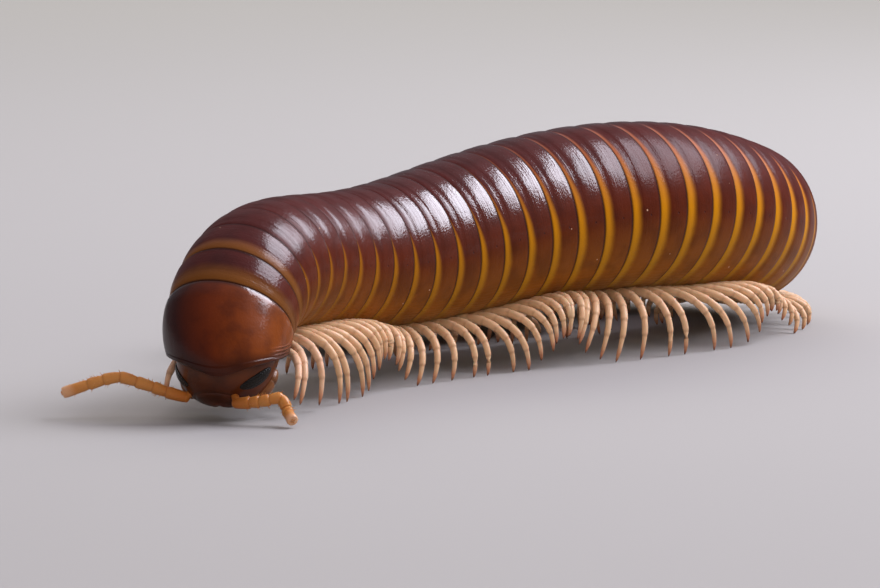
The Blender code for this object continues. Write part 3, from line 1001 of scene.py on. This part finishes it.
    def add_leg(self, draft: Draft, station: float, side: Side) -> None:
        """Adds one jointed leg with its claw.

        Args:
            draft: The mesh that gets it.
            station: Where the leg grows.
            side: The animal's left or right.
        """
        line = self.route(station, side)
        shares, radii, joint = [], [], []
        spans = zip(self.joints, self.joints[1:], self.thickness, self.thickness[1:])
        for start, end, thick, following in spans:
            for place, bulge in self.swell:
                shares.append(start + (end - start) * place)
                radii.append((thick + (following - thick) * place * self.narrowing) * bulge)
                joint.append(float(place in (self.swell[0][0], self.swell[-1][0])))
        for place, thick in self.foot:
            shares.append(place)
            radii.append(thick)
            joint.append(0.0)
        points = line(np.array(shares))
        inside = points[0] + unit(points[0] - points[1]) * self.sunk
        points = np.vstack([inside, points])
        radii = np.array([radii[0], *radii])
        rings = tube(points, radii, self.sides)
        end = points[-1]
        turn = 2 * np.pi * np.arange(self.sides) / self.sides
        rings[-1] = end + self.claw * np.stack([np.cos(turn), np.sin(turn), np.zeros(self.sides)], -1)
        rings[:, :, 2] = np.maximum(rings[:, :, 2], end[2])
        draft.skin(rings, {
            Mark.ALONG: np.array([0.0, *shares]),
            Mark.EDGE: np.array([0.0, *joint]),
        })

    def stations(self, ring: int, side: Side) -> tuple[float, ...]:
        """Where a ring's legs grow on a side.

        Args:
            ring: The ring.
            side: The animal's left or right.

        Returns:
            No place on the last ring, one on the first few and inside a tight bend, and two elsewhere.
        """
        if ring == RINGS:
            return ()
        if ring < self.first_double_ring or self.inward_bend(ring - self.single_at, side) > self.tight_bend:
            return (ring - self.single_at,)
        return tuple(ring - before for before in self.double_at)

    def build(self, name: str, first: int, last: int, finish: Material) -> Object:
        """Builds the legs under one length of the trunk.

        Args:
            name: The piece's name.
            first: Its first ring.
            last: Its last ring.
            finish: The legs' material.

        Returns:
            The piece.
        """
        draft = Draft()
        for ring in range(first, last + 1):
            for side in Side:
                for station in self.stations(ring, side):
                    self.add_leg(draft, station, side)
        return draft.piece(name, finish, self.sharp)


@dataclass
class HeadForm:
    """The head capsule's shape, in its own frame: front, left, top."""

    axis: BodyAxis
    ahead: float = 3.1
    below: float = 0.2
    aside: float = 0.5
    heading: float = 71
    pitch: float = 62
    half_length: float = 3.15
    half_width: float = 3.3
    rise: float = 2.9
    drop: float = 2.1
    fullness: float = 0.86

    def __post_init__(self) -> None:
        """Places the head ahead of the first ring."""
        place = self.axis.at(1.0)
        turn, dip = math.radians(self.heading), math.radians(self.pitch)
        level = math.cos(dip)
        self.front = -np.array([math.cos(turn) * level, math.sin(turn) * level, math.sin(dip)])
        self.left = np.array([math.sin(turn), -math.cos(turn), 0])
        self.top = np.cross(self.front, self.left)
        self.middle = (
            place.centre[0] - place.tailward[0] * self.ahead - place.back[0] * self.below
            + place.left[0] * self.aside
        )

    def surface(self, tilt: Array, turn: Array, out: Array | float = 0.0) -> Array:
        """Points on the head.

        Args:
            tilt: Degrees from the front end.
            turn: Degrees from the top towards the animal's left.
            out: How far the points stand off the capsule.

        Returns:
            The points, in the shape that the angles make together.
        """
        tilt, turn = np.broadcast_arrays(np.radians(tilt), np.radians(turn))
        girth = np.maximum(np.sin(tilt), 0) ** self.fullness
        high = np.where(np.cos(turn) > 0, self.rise, self.drop)
        ahead = self.half_length * np.cos(tilt)
        aside = self.half_width * girth * np.sin(turn)
        above = high * girth * np.cos(turn)
        normal = unit(np.stack([
            ahead / self.half_length**2, aside / self.half_width**2, above / high**2,
        ], -1))
        spot = np.stack([ahead, aside, above], -1) + np.asarray(out)[..., None] * normal
        ahead, aside, above = (spot[..., i:i + 1] for i in range(3))
        return self.middle + ahead * self.front + aside * self.left + above * self.top

    def direction(self, tilt: float, turn: float) -> Array:
        """The unit direction of a tilt and turn."""
        tilt, turn = math.radians(tilt), math.radians(turn)
        return np.array([math.cos(tilt), math.sin(tilt) * math.sin(turn), math.sin(tilt) * math.cos(turn)])

    def oval(
        self, ends: tuple[Pair, Pair], half_width: float, side: Side, share: Array, aside: Array,
    ) -> tuple[Array, Array]:
        """The tilts and turns of places in an oval on the head.

        Args:
            ends: The tilt and turn of each end of its long axis, on the left side.
            half_width: Half its width as a share of the head's.
            side: The side that it is on.
            share: Places along its long axis, from -1 to 1, one to a row.
            aside: Places across it, from -1 to 1, one to a column.

        Returns:
            The tilts and the turns.
        """
        first, second = (self.direction(tilt, side.value * turn) for tilt, turn in ends)
        middle, along = (first + second) / 2, (second - first) / 2
        across = unit(np.cross(middle, along))
        wide = half_width * np.sqrt(np.maximum(1 - share**2, 0))[:, None] * aside[None]
        spot = unit(middle + along * share[:, None, None] + across * wide[..., None])
        return np.degrees(np.arccos(spot[..., 0])), np.degrees(np.arctan2(spot[..., 1], spot[..., 2]))


@dataclass
class Plate:
    """An oval plate that stands up from the head, domed and parted by seams."""

    form: HeadForm
    ends: tuple[Pair, Pair]  # the tilt and turn of each end of its long axis, on the left side
    half_width: float  # as a share of the head's
    counts: tuple[int, int]  # rows and columns of points on its outside
    raised: float = 0.42
    powers: Pair = (0.4, 0.5)  # of the dome, across and along it
    seams_across: tuple[float, ...] = ()
    seams_along: tuple[float, ...] = ()
    seam_depth: float = 0.08
    seam_width: float = 0.05
    under_columns: int = 8
    sunk_under: float = 0.25
    sunk_sides: float = 0.15
    sunk_ends: float = 0.2

    def height(self, share: Array, aside: Array) -> Array:
        """The plate's height.

        Args:
            share: Places along it, from -1 to 1.
            aside: Places across it, from -1 to 1.

        Returns:
            The height at each.
        """
        across, along = self.powers
        dome = (1 - aside**2) ** across * np.sqrt(np.maximum(1 - share**2, 0)) ** along
        seams = [(share, at) for at in self.seams_across] + [(aside, at) for at in self.seams_along]
        depth = sum(np.exp(-((place - at) / self.seam_width) ** 2) for place, at in seams)
        return self.raised * dome - self.seam_depth * depth

    def build(self, name: str, side: Side, finish: Material) -> Object:
        """Builds the plate.

        Args:
            name: The piece's name.
            side: The side that it is on.
            finish: Its material.

        Returns:
            The piece.
        """
        rows, columns = self.counts
        share = -np.cos(np.pi * (np.arange(rows) + 0.5) / rows)
        under = np.linspace(1, -1, self.under_columns)[1:-1]
        aside = np.concatenate([np.linspace(-1, 1, columns), under])
        tilt, turn = self.form.oval(self.ends, self.half_width, side, share, aside)
        heights = self.height(share[:, None], aside[None])
        heights[:, columns:] = -self.sunk_under
        heights[:, [0, columns - 1]] = -self.sunk_sides
        heights[[0, -1]] = -self.sunk_ends
        draft = Draft()
        draft.skin(self.form.surface(tilt, turn, heights), {})
        return draft.piece(name, finish)


@dataclass
class Eye(Plate):
    """An eye of many small lenses."""

    ends: tuple[Pair, Pair] = ((42, 49), (80, 82))
    half_width: float = 0.13
    counts: tuple[int, int] = (150, 52)
    raised: float = 0.1
    falls: float = 0.8  # towards its sides
    blunt: float = 0.7
    lens_mm: float = 0.21
    lens_height: float = 0.03
    row_pitch: float = 0.87  # as a share of a lens
    half_lens: float = 0.5

    def height(self, share: Array, aside: Array) -> Array:
        """The eye's height: a low dome covered in lenses that lie in rows.

        Args:
            share: Places along it, from -1 to 1.
            aside: Places across it, from -1 to 1.

        Returns:
            The height at each.
        """
        first, second = (self.form.direction(tilt, turn) for tilt, turn in self.ends)
        half_long = np.linalg.norm(second - first) / 2 * self.form.half_width
        edge = np.sqrt(np.maximum(1 - share**2, 0))
        x = share * half_long / self.lens_mm
        y = aside * edge * self.half_width * self.form.half_width / (self.lens_mm * self.row_pitch)
        row = np.round(y)
        x = x - (row % 2) * self.half_lens
        near = np.hypot(x - np.round(x), (y - row) * self.row_pitch)
        lens = np.maximum(1 - (near / self.half_lens) ** 2, 0) ** 0.5
        return self.raised * (1 - aside**2 * self.falls) * edge**self.blunt + self.lens_height * lens


@dataclass
class JawPlate(Plate):
    """The swollen base of a mandible on the cheek."""

    ends: tuple[Pair, Pair] = ((40, 112), (88, 117))
    half_width: float = 0.24
    counts: tuple[int, int] = (60, 28)
    powers: Pair = (0.5, 0.6)
    seams_across: tuple[float, ...] = (0.2,)
    seam_depth: float = 0.1


@dataclass
class MouthPlate(Plate):
    """The plate under the mouth, with a seam down the middle and one to each side."""

    ends: tuple[Pair, Pair] = ((40, 180), (108, 180))
    half_width: float = 0.4
    counts: tuple[int, int] = (60, 60)
    seams_along: tuple[float, ...] = (-0.5, 0.0, 0.5)


@dataclass
class Head:
    """The head capsule with its lip, and the plates and eyes on it."""

    form: HeadForm
    rows: int = 110
    columns: int = 144
    tilts: Pair = (1.5, 176)  # where its skin starts and ends
    lip_tilt: float = 26
    lip_depth: float = 0.09
    lip_width: float = 2.2
    lip_fades: Pair = (-0.4, 0.3)
    notch_depth: float = 0.22
    notch_width: float = 16
    notch_fades: Pair = (0.5, 1.0)
    notch_tilts: Pair = (34, 12)
    seam_depth: float = 0.035
    seam_width: float = 2.5
    seam_tilts: Pair = (40, 60)

    def dress(self) -> None:
        """Builds the capsule, eyes, jaws and mouth plate in their cuticles."""
        capsule = HeadCuticle("hard_head_cuticle", roughness=0.38, gloss=0.05, coat=0.35).make()
        place_piece(self.build_capsule(capsule), "head_shell", "head")
        lens = PlainCuticle(
            "black_eye_cuticle", gloss=0.05, coat=0.5, coat_roughness=0.14, mottle_mm=0.6,
        ).make()
        jaw = PlainCuticle(
            "jaw_cuticle", roughness=0.38, coat=0.4, coat_roughness=0.2, mottle_mm=0.8,
            colour="#7E5030", shade="#50301C",
        ).make()
        for side in Side:
            word = side.name.lower()
            eye = Eye(self.form).build(f"eye_lenses_{word}", side, lens)
            place_piece(eye, "eye_black", f"eye_{word}")
            base = JawPlate(self.form).build(f"mandible_base_{word}", side, jaw)
            place_piece(base, "jaw_shell", f"mandible_{word}")
        under = MouthPlate(self.form).build("mouth_plate", Side.LEFT, jaw)
        place_piece(under, "jaw_shell", "gnathochilarium")

    def build_capsule(self, finish: Material) -> Object:
        """Builds the head capsule.

        Args:
            finish: The head's material.

        Returns:
            The piece.
        """
        tilt = np.linspace(*self.tilts, self.rows)[:, None]
        turn = np.linspace(0, 360, self.columns, endpoint=False)[None]
        facing = np.cos(np.radians(turn))
        upper = smoothstep(facing, *self.lip_fades)
        groove = -self.lip_depth * np.exp(-((tilt - self.lip_tilt) / self.lip_width) ** 2) * upper
        mouth = smoothstep(-facing, *self.notch_fades) * smoothstep(tilt, *self.notch_tilts)
        notch = -self.notch_depth * mouth * np.exp(-((turn - 180) / self.notch_width) ** 2)
        wide = ((turn + 180) % 360) - 180
        crown = smoothstep(tilt, *self.seam_tilts)
        seam = -self.seam_depth * np.exp(-(wide / self.seam_width) ** 2) * crown
        grid = self.form.surface(tilt, turn, groove + notch + seam)
        draft = Draft()
        draft.skin(grid, {Mark.TINT: (tilt / 90).clip(0, 1)[:, 0]})
        return draft.piece("head_capsule", finish)


@dataclass
class Collum:
    """The shield behind the head, a thick dome open in front."""

    axis: BodyAxis
    half_angle: float = 115
    past_end: float = 8  # degrees past its ends where the margin would come to nothing
    length: float = 5.9
    dome: float = 6.9
    dome_power: float = 2.4
    lean: float = 1.2
    margin_power: float = 0.78
    thick: float = 0.3
    rows: int = 64
    columns: int = 150
    inner_step: int = 4  # the inner surface has one row to this many outer ones
    rounding: tuple[Pair, ...] = ((1.0, 0.004), (1.012, 0.05), (1.018, 0.12), (1.012, 0.22))
    rear_round: float = 0.12
    rear_reach: float = 0.42

    def dress(self) -> None:
        """Builds the shield in its polished cuticle."""
        finish = ShieldCuticle("polished_shield_cuticle", coat=1.0, coat_roughness=0.15).make()
        place_piece(self.build(finish), "collum_shell", "collum")

    def margin(self, angle: Array) -> Array:
        """The shield's length at each angle, as a share of its length in the middle."""
        turn = 90 * np.abs(angle) / (self.half_angle + self.past_end)
        return np.cos(np.radians(turn)) ** self.margin_power

    def sheet(self, inward: float, ahead_share: Array, angle: Array) -> Array:
        """One surface of the shield.

        Args:
            inward: How far it lies inside the outer surface.
            ahead_share: The share of the way to the front margin, one to a row.
            angle: Degrees from the back, one to a column.

        Returns:
            The points in rows and columns.
        """
        place = self.axis.at(1.0)
        ahead = self.length * self.margin(angle)[None] * ahead_share[:, None]
        dome = (1 - (ahead / self.dome) ** self.dome_power) ** 0.5
        rolled = self.rear_round * (1 - np.clip(ahead / self.rear_reach, 0, 1)) ** 2
        radius = (float(self.axis.radius(1.0)) * dome - rolled - inward)[..., None]
        turn = np.radians(angle)[None, :, None]
        lean = self.lean * (ahead[..., None] / self.length) ** 2
        across = self.axis.height_ratio * np.cos(turn) * place.back[0] + np.sin(turn) * place.left[0]
        middle = place.centre[0] - place.tailward[0] * ahead[..., None]
        return middle + place.left[0] * lean + radius * across

    def build(self, finish: Material) -> Object:
        """Builds the shield as an outer and an inner surface joined round their edges.

        Args:
            finish: Its material.

        Returns:
            The piece.
        """
        angle = np.linspace(-self.half_angle, self.half_angle, self.columns)
        ahead = np.linspace(0, 1, self.rows)
        outer = self.sheet(0.0, ahead, angle)
        rolled = np.concatenate([
            self.sheet(inward, np.array([place]), angle) for place, inward in self.rounding
        ])
        inner = self.sheet(self.thick, ahead[::-self.inner_step], angle)
        grid = np.concatenate([outer, rolled, inner, outer[:1]])
        edge = self.length * self.margin(angle)[None] * (1 - ahead[:, None])
        hidden = len(rolled) + len(inner)
        open_sheet = {"closed": False, "caps": False}
        draft = Draft()
        draft.skin(grid, {
            Mark.EDGE: np.concatenate([edge, np.zeros((hidden, self.columns)), edge[:1]]),
            Mark.AROUND: np.broadcast_to((angle / self.half_angle + 1) / 2, grid.shape[:2]),
            Mark.ALONG: np.concatenate([ahead, np.ones(hidden), ahead[:1]]),
        }, **open_sheet)
        for column in (0, -1):
            strip = grid[:, column]
            fan = np.stack([strip, np.repeat(strip.mean(axis=0)[None], len(strip), 0)])
            draft.skin(fan, {Mark.EDGE: 0.0, Mark.AROUND: float(column != 0), Mark.ALONG: 0.5}, **open_sheet)
        return draft.piece("collum_shield", finish)


@dataclass
class Feelers:
    """The two feelers, of seven joints that widen to their ends, with short hairs."""

    form: HeadForm
    left: tuple[Point, ...] = (
        (0.72, -2.85, -2.42), (1.62, -3.34, -2.3), (2.22, -3.54, -2.2), (2.87, -3.69, -2.07),
        (3.56, -3.69, -2.0), (3.92, -3.89, -2.57), (4.07, -4.29, -2.87), (4.37, -5.09, -3.24),
    )
    right: tuple[Point, ...] = (
        (-2.65, -0.85, -2.3), (-3.88, -0.69, -1.97), (-4.75, -0.59, -1.67), (-5.83, -0.59, -1.32),
        (-6.86, -0.59, -1.04), (-7.93, -0.59, -1.22), (-8.92, -0.59, -1.52), (-10.58, -0.59, -2.07),
    )
    swell: tuple[Pair, ...] = (
        (0.0, 0.84), (0.08, 0.89), (0.3, 0.95), (0.6, 1.0), (0.82, 1.04), (0.93, 1.0), (0.98, 0.9),
    )
    end_cap: tuple[Pair, ...] = ((-0.015, 0.62), (0.0, 0.25))
    root_cap: tuple[Pair, ...] = ((-0.3, 0.2), (-0.25, 0.55), (-0.16, 0.75), (-0.06, 0.83))
    base: float = 0.4
    tip: float = 0.37
    stalk: float = 0.7
    stalk_radius: float = 0.26
    stalk_sides: int = 12
    sides: int = 20
    end_shade: float = 0.95  # the last joint keeps the tip's colour
    probe: float = 0.05  # in joints, the step over which a hair reads the feeler's direction
    hairs: int = 90
    hair: float = 0.2
    hair_bare: Pair = (0.6, 0.1)  # joints with no hair at the root and at the end
    hair_rooted: float = 0.8
    hair_shortest: float = 0.5
    hair_leans: float = 0.6
    hair_radii: Point = (0.022, 0.016, 0.004)
    hair_sides: int = 4
    hair_shade: float = 0.3
    cone: float = 0.1
    cone_probe: float = 0.01
    cone_turns: tuple[float, ...] = (45, 135, 225, 315)
    cone_guide: Point = (0, 1, 0.3)  # a direction that the turns are counted from
    cone_route: Point = (-0.05, 0.04, 0.09)
    cone_radii: Point = (0.06, 0.05, 0.02)
    cone_sides: int = 8
    cone_shade: float = 0.35

    def dress(self) -> None:
        """Builds both feelers in their cuticle."""
        finish = LimbCuticle(
            "feeler_cuticle", roughness=0.4, coat=0.35, coat_roughness=0.2, soft=0.15,
            root="#AC642A", middle="#C08246", tip="#E0B898", joint="#94582A",
        ).make()
        for side in Side:
            place_piece(self.build(side, finish), "antenna_orange", f"antenna_{side.name.lower()}")

    def build(self, side: Side, finish: Material) -> Object:
        """Builds one feeler.

        Args:
            side: The side that it is on.
            finish: Its material.

        Returns:
            The piece.
        """
        knots = np.array(self.left if side is Side.LEFT else self.right)
        curves = [Curve(dict(enumerate(knots[:, axis]))) for axis in range(3)]

        def line(place: Array) -> Array:
            """Points along the feeler, counted in joints."""
            return self.form.middle + np.stack([curve(place) for curve in curves], -1)

        count = len(knots) - 1
        draft = Draft()
        places, radii = self.add_joints(draft, line, count)
        rng = np.random.default_rng(SEED + side.value)
        for _ in range(self.hairs):
            self.add_hair(draft, line, rng, places, radii)
        self.add_cones(draft, line, count)
        return draft.piece(f"feeler_{side.name.lower()}", finish)

    def add_joints(self, draft: Draft, line: Line, count: int) -> tuple[Array, Array]:
        """Adds the joints, and the stalk that holds them to the head.

        Args:
            draft: The mesh that gets them.
            line: Points along the feeler, counted in joints.
            count: How many joints it has.

        Returns:
            Places along the feeler and its radius at each.
        """
        ends = [(count + past, bulge) for past, bulge in self.end_cap]
        joints = [(i + place, bulge) for i in range(count) for place, bulge in self.swell]
        places, bulges = np.array([*joints, *ends]).T
        radii = (self.base + (self.tip - self.base) * places / count) * bulges
        creases = (self.swell[0][0], self.swell[-1][0])
        joint = [float(place % 1 in creases) for place in places.round(3)]
        points = line(places)
        behind, shares = np.array(self.root_cap).T
        cap = points[0] + behind[:, None] * unit(points[1] - points[0])
        rings = tube(np.vstack([cap, points]), np.concatenate([shares * self.base, radii]), self.sides)
        none = np.zeros(len(cap))
        draft.skin(rings, {
            Mark.ALONG: np.concatenate([none, places]) / count * self.end_shade,
            Mark.EDGE: np.concatenate([none, joint]),
        })
        inward = unit(self.form.middle - points[0])
        route = points[0] + inward * self.stalk * np.array([[0.0], [1.0]])
        stalk = tube(route, np.full(2, self.stalk_radius), self.stalk_sides)
        draft.skin(stalk, {Mark.ALONG: 0.0, Mark.EDGE: 1.0})
        return places, radii

    def add_hair(
        self, draft: Draft, line: Line, rng: np.random.Generator, places: Array, radii: Array,
    ) -> None:
        """Adds one hair.

        Args:
            draft: The mesh that gets it.
            line: Points along the feeler, counted in joints.
            rng: What its place and direction are drawn from.
            places: Places along the feeler.
            radii: The feeler's radius at each.
        """
        bare_root, bare_end = self.hair_bare
        place = rng.uniform(bare_root, places[-1] - bare_end)
        spot = line(np.array([place, place + self.probe]))
        along = unit(spot[1] - spot[0])
        off = unit(np.cross(along, rng.normal(size=3)))
        radius = float(np.interp(place, places, radii))
        start = spot[0] + off * radius * self.hair_rooted
        reach = radius + self.hair * rng.uniform(self.hair_shortest, 1)
        end = spot[0] + off * reach + along * self.hair * self.hair_leans
        route = np.array([start, (start + end) / 2, end])
        hair = tube(route, np.array(self.hair_radii), self.hair_sides)
        draft.skin(hair, {Mark.ALONG: self.hair_shade, Mark.EDGE: 0.0})

    def add_cones(self, draft: Draft, line: Line, count: int) -> None:
        """Adds the small cones on the feeler's end.

        Args:
            draft: The mesh that gets them.
            line: Points along the feeler, counted in joints.
            count: How many joints it has.
        """
        end = line(np.array([count - self.cone_probe, count]))
        along = unit(end[1] - end[0])
        first = unit(np.cross(along, self.cone_guide))
        second = np.cross(along, first)
        for turn in np.radians(self.cone_turns):
            base = end[0] + (first * math.cos(turn) + second * math.sin(turn)) * self.cone
            route = np.array([base + along * past for past in self.cone_route])
            cone = tube(route, np.array(self.cone_radii), self.cone_sides)
            draft.skin(cone, {Mark.ALONG: self.cone_shade, Mark.EDGE: 0.0})


@dataclass
class TailEnd:
    """The legless last ring, its two valves and the small plate below them."""

    axis: BodyAxis
    telson: tuple[Pair, ...] = (
        (-0.05, 0.93), (0.0, 0.944), (0.05, 0.955), (0.3, 0.965), (0.6, 0.976), (0.9, 0.975), (1.3, 0.945),
        (1.65, 0.89), (1.95, 0.81), (2.15, 0.745), (2.28, 0.7), (2.33, 0.67), (2.28, 0.63), (2.0, 0.6),
    )
    telson_columns: int = 128
    telson_shade: float = 0.85  # the place along a ring that its end is coloured as
    valve: tuple[Pair, ...] = (
        (1.9, 0.5), (2.4, 0.53), (2.9, 0.52), (3.3, 0.475), (3.6, 0.42), (3.85, 0.345), (4.05, 0.25),
        (4.16, 0.15), (4.2, 0.05),
    )
    valve_columns: int = 40
    valve_raised: float = 0.1
    seam: float = 0.05
    rim: float = 0.05
    rim_at: float = 0.12
    rim_width: float = 0.08
    scale_span: Pair = (2.0, 3.4)
    scale_half_width: float = 0.34
    scale_top: float = -0.47
    scale_bottom: float = -0.66
    scale_rises: float = 0.05
    scale_blunt: float = 2.6
    scale_narrows: float = 0.995
    scale_counts: tuple[int, int] = (16, 32)

    def dress(self) -> None:
        """Builds the last ring and its plates in their cuticles."""
        ring = RingCuticle("waxed_tail_cuticle").make()
        plate = PlainCuticle(
            "tail_plate_cuticle", colour="#5A2A16", shade="#35160E", mottle_mm=1.0,
        ).make()
        place_piece(self.build_telson(ring), "tail_shell", "telson")
        for side in Side:
            place_piece(self.build_valve(side, plate), "tail_shell", f"anal_valve_{side.name.lower()}")
        place_piece(self.build_scale(plate), "tail_shell", "subanal_scale")

    def point(self, behind: Array, aside: Array, above: Array) -> Array:
        """Points behind the last ring.

        Args:
            behind: Lengths behind it.
            aside: Offsets to the left as shares of its radius.
            above: Offsets upwards as shares of its radius.

        Returns:
            The points.
        """
        place = self.axis.at(float(RINGS))
        radius = float(self.axis.radius(RINGS))
        behind, aside, above = (v[..., None] for v in np.broadcast_arrays(behind, aside, above))
        return place.centre[0] + place.tailward[0] * behind + radius * (
            place.left[0] * aside + self.axis.height_ratio * place.back[0] * above
        )

    def build_telson(self, finish: Material) -> Object:
        """Builds the last ring.

        Args:
            finish: Its material.

        Returns:
            The piece.
        """
        behind, share = np.array(self.telson).T
        turn = np.linspace(0, 2 * np.pi, self.telson_columns, endpoint=False)
        grid = self.point(behind[:, None], share[:, None] * np.sin(turn), share[:, None] * np.cos(turn))
        around = down_from_back(np.degrees(turn))
        along = np.clip(behind / RING, 0, self.telson_shade)
        draft = Draft()
        draft.skin(grid, {
            Mark.ALONG: along,
            Mark.AROUND: np.broadcast_to(around, grid.shape[:2]),
            Mark.STATION: float(RINGS),
        })
        return draft.piece("tail_ring", finish)

    def build_valve(self, side: Side, finish: Material) -> Object:
        """Builds one valve.

        Args:
            side: The side that it is on.
            finish: Its material.

        Returns:
            The piece.
        """
        behind, share = (v[:, None] for v in np.array(self.valve).T)
        turn = np.linspace(0, np.pi, self.valve_columns)[None]
        seam = self.seam / float(self.axis.radius(RINGS))
        rim = 1 + self.rim * np.exp(-((np.sin(turn) - self.rim_at) / self.rim_width) ** 2)
        aside = side.value * (seam + share * np.sin(turn) * rim)
        grid = self.point(behind, aside, self.valve_raised + share * np.cos(turn))
        draft = Draft()
        draft.skin(grid, {})
        return draft.piece(f"tail_valve_{side.name.lower()}", finish)

    def build_scale(self, finish: Material) -> Object:
        """Builds the plate below the valves.

        Args:
            finish: Its material.

        Returns:
            The piece.
        """
        count, columns = self.scale_counts
        rows = np.linspace(0, 1, count)[:, None]
        turn = np.linspace(0, 2 * np.pi, columns, endpoint=False)[None]
        start, end = self.scale_span
        shrink = (1 - rows**self.scale_blunt * self.scale_narrows) ** 0.5
        middle, half = (self.scale_top + self.scale_bottom) / 2, (self.scale_top - self.scale_bottom) / 2
        aside = self.scale_half_width * shrink * np.cos(turn)
        above = middle + half * shrink * np.sin(turn) + self.scale_rises * rows
        draft = Draft()
        draft.skin(self.point(start + (end - start) * rows, aside, above), {})
        return draft.piece("tail_scale", finish)


@dataclass(frozen=True)
class Softbox:
    """A soft light that faces the animal."""

    name: str
    place: Point
    size: Pair  # width and height
    watts: float
    colour: str
    mirrored: bool = True  # whether gloss shows it

    def hang(self, target: Point) -> None:
        """Adds the light.

        Args:
            target: What it faces.
        """
        data = bpy.data.lights.new(self.name, "AREA")
        data.shape = "RECTANGLE"
        data.size, data.size_y = (side * MM for side in self.size)
        data.energy = self.watts
        data.color = linear(self.colour)[:3]
        light = bpy.data.objects.new(self.name, data)
        light.location = np.array(self.place) * MM
        light.rotation_euler = aim(np.array(self.place), np.array(target))
        light.visible_glossy = self.mirrored
        bpy.context.scene.collection.objects.link(light)


@dataclass
class Studio:
    """Floor, lights and camera."""

    target: Point = (-2.07, -6.63, 5.25)
    distance: float = 320
    elevation: float = 6.5
    pixels_per_radian: float = 4608
    sensor: float = 36
    clip_start: float = 10
    floor_half: float = 1500
    world: str = "#BEC2CC"
    world_strength: float = 0.25
    lights: tuple[Softbox, ...] = (
        Softbox("side_softbox", (309, 107, 325), (380, 260), 3.5, "#F0F1FF"),
        Softbox("overhead_softbox", (-20, 20, 330), (400, 380), 0.5, "#F0E4F4", mirrored=False),
        Softbox("front_fill", (40, -420, 120), (300, 200), 0.6, "#FFF4EA", mirrored=False),
        Softbox("far_floor_wash", (0, 700, 500), (900, 400), 6.5, "#FFFDFA", mirrored=False),
    )

    def build(self) -> None:
        """Adds the floor, the lights and the camera, and shows colours as they are."""
        self.add_floor()
        for light in self.lights:
            light.hang(self.target)
        self.add_world()
        self.add_camera()
        bpy.context.scene.view_settings.view_transform = "Standard"

    def add_floor(self) -> None:
        """Adds the pale floor."""
        draft = Draft()
        half = self.floor_half
        corners = np.array([[[-half, -half, 0], [half, -half, 0]], [[-half, half, 0], [half, half, 0]]])
        draft.skin(corners, {}, closed=False, caps=False)
        floor = draft.piece("studio_floor", PaintedCard().make())
        if floor.data.polygons[0].normal.z < 0:
            floor.data.flip_normals()

    def add_world(self) -> None:
        """Adds the room's even light."""
        world = bpy.data.worlds.new("studio_air")
        world.use_nodes = True
        background = world.node_tree.nodes["Background"]
        background.inputs["Color"].default_value = linear(self.world)
        background.inputs["Strength"].default_value = self.world_strength
        bpy.context.scene.world = world

    def add_camera(self) -> None:
        """Adds the camera at the photo's viewing angle."""
        data = bpy.data.cameras.new("photo_camera")
        data.sensor_width = self.sensor
        data.lens = self.pixels_per_radian * self.sensor / PHOTO_WIDTH
        data.clip_start = self.clip_start * MM
        camera = bpy.data.objects.new("photo_camera", data)
        dip = math.radians(self.elevation)
        target = np.array(self.target)
        place = target - self.distance * np.array([0, math.cos(dip), -math.sin(dip)])
        camera.location = place * MM
        camera.rotation_euler = aim(place, target)
        bpy.context.scene.collection.objects.link(camera)
        bpy.context.scene.camera = camera


def aim(place: Array, target: Array) -> tuple[float, float, float]:
    """The turn that points a light or camera at a target.

    Args:
        place: Where it stands.
        target: What it points at.

    Returns:
        The three Euler angles.
    """
    way = target - place
    flat = math.hypot(way[0], way[1])
    return math.atan2(flat, -way[2]), 0.0, math.atan2(-way[0], way[1])


def main() -> None:
    """Loads the frame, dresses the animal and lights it."""
    logging.basicConfig(level=logging.INFO, format="%(message)s")
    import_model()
    axis = BodyAxis()
    form = HeadForm(axis)
    for part in (Trunk(axis), Legs(axis), Collum(axis), Head(form), Feelers(form), TailEnd(axis)):
        part.dress()
    Studio().build()


if __name__ == "__main__":
    main()
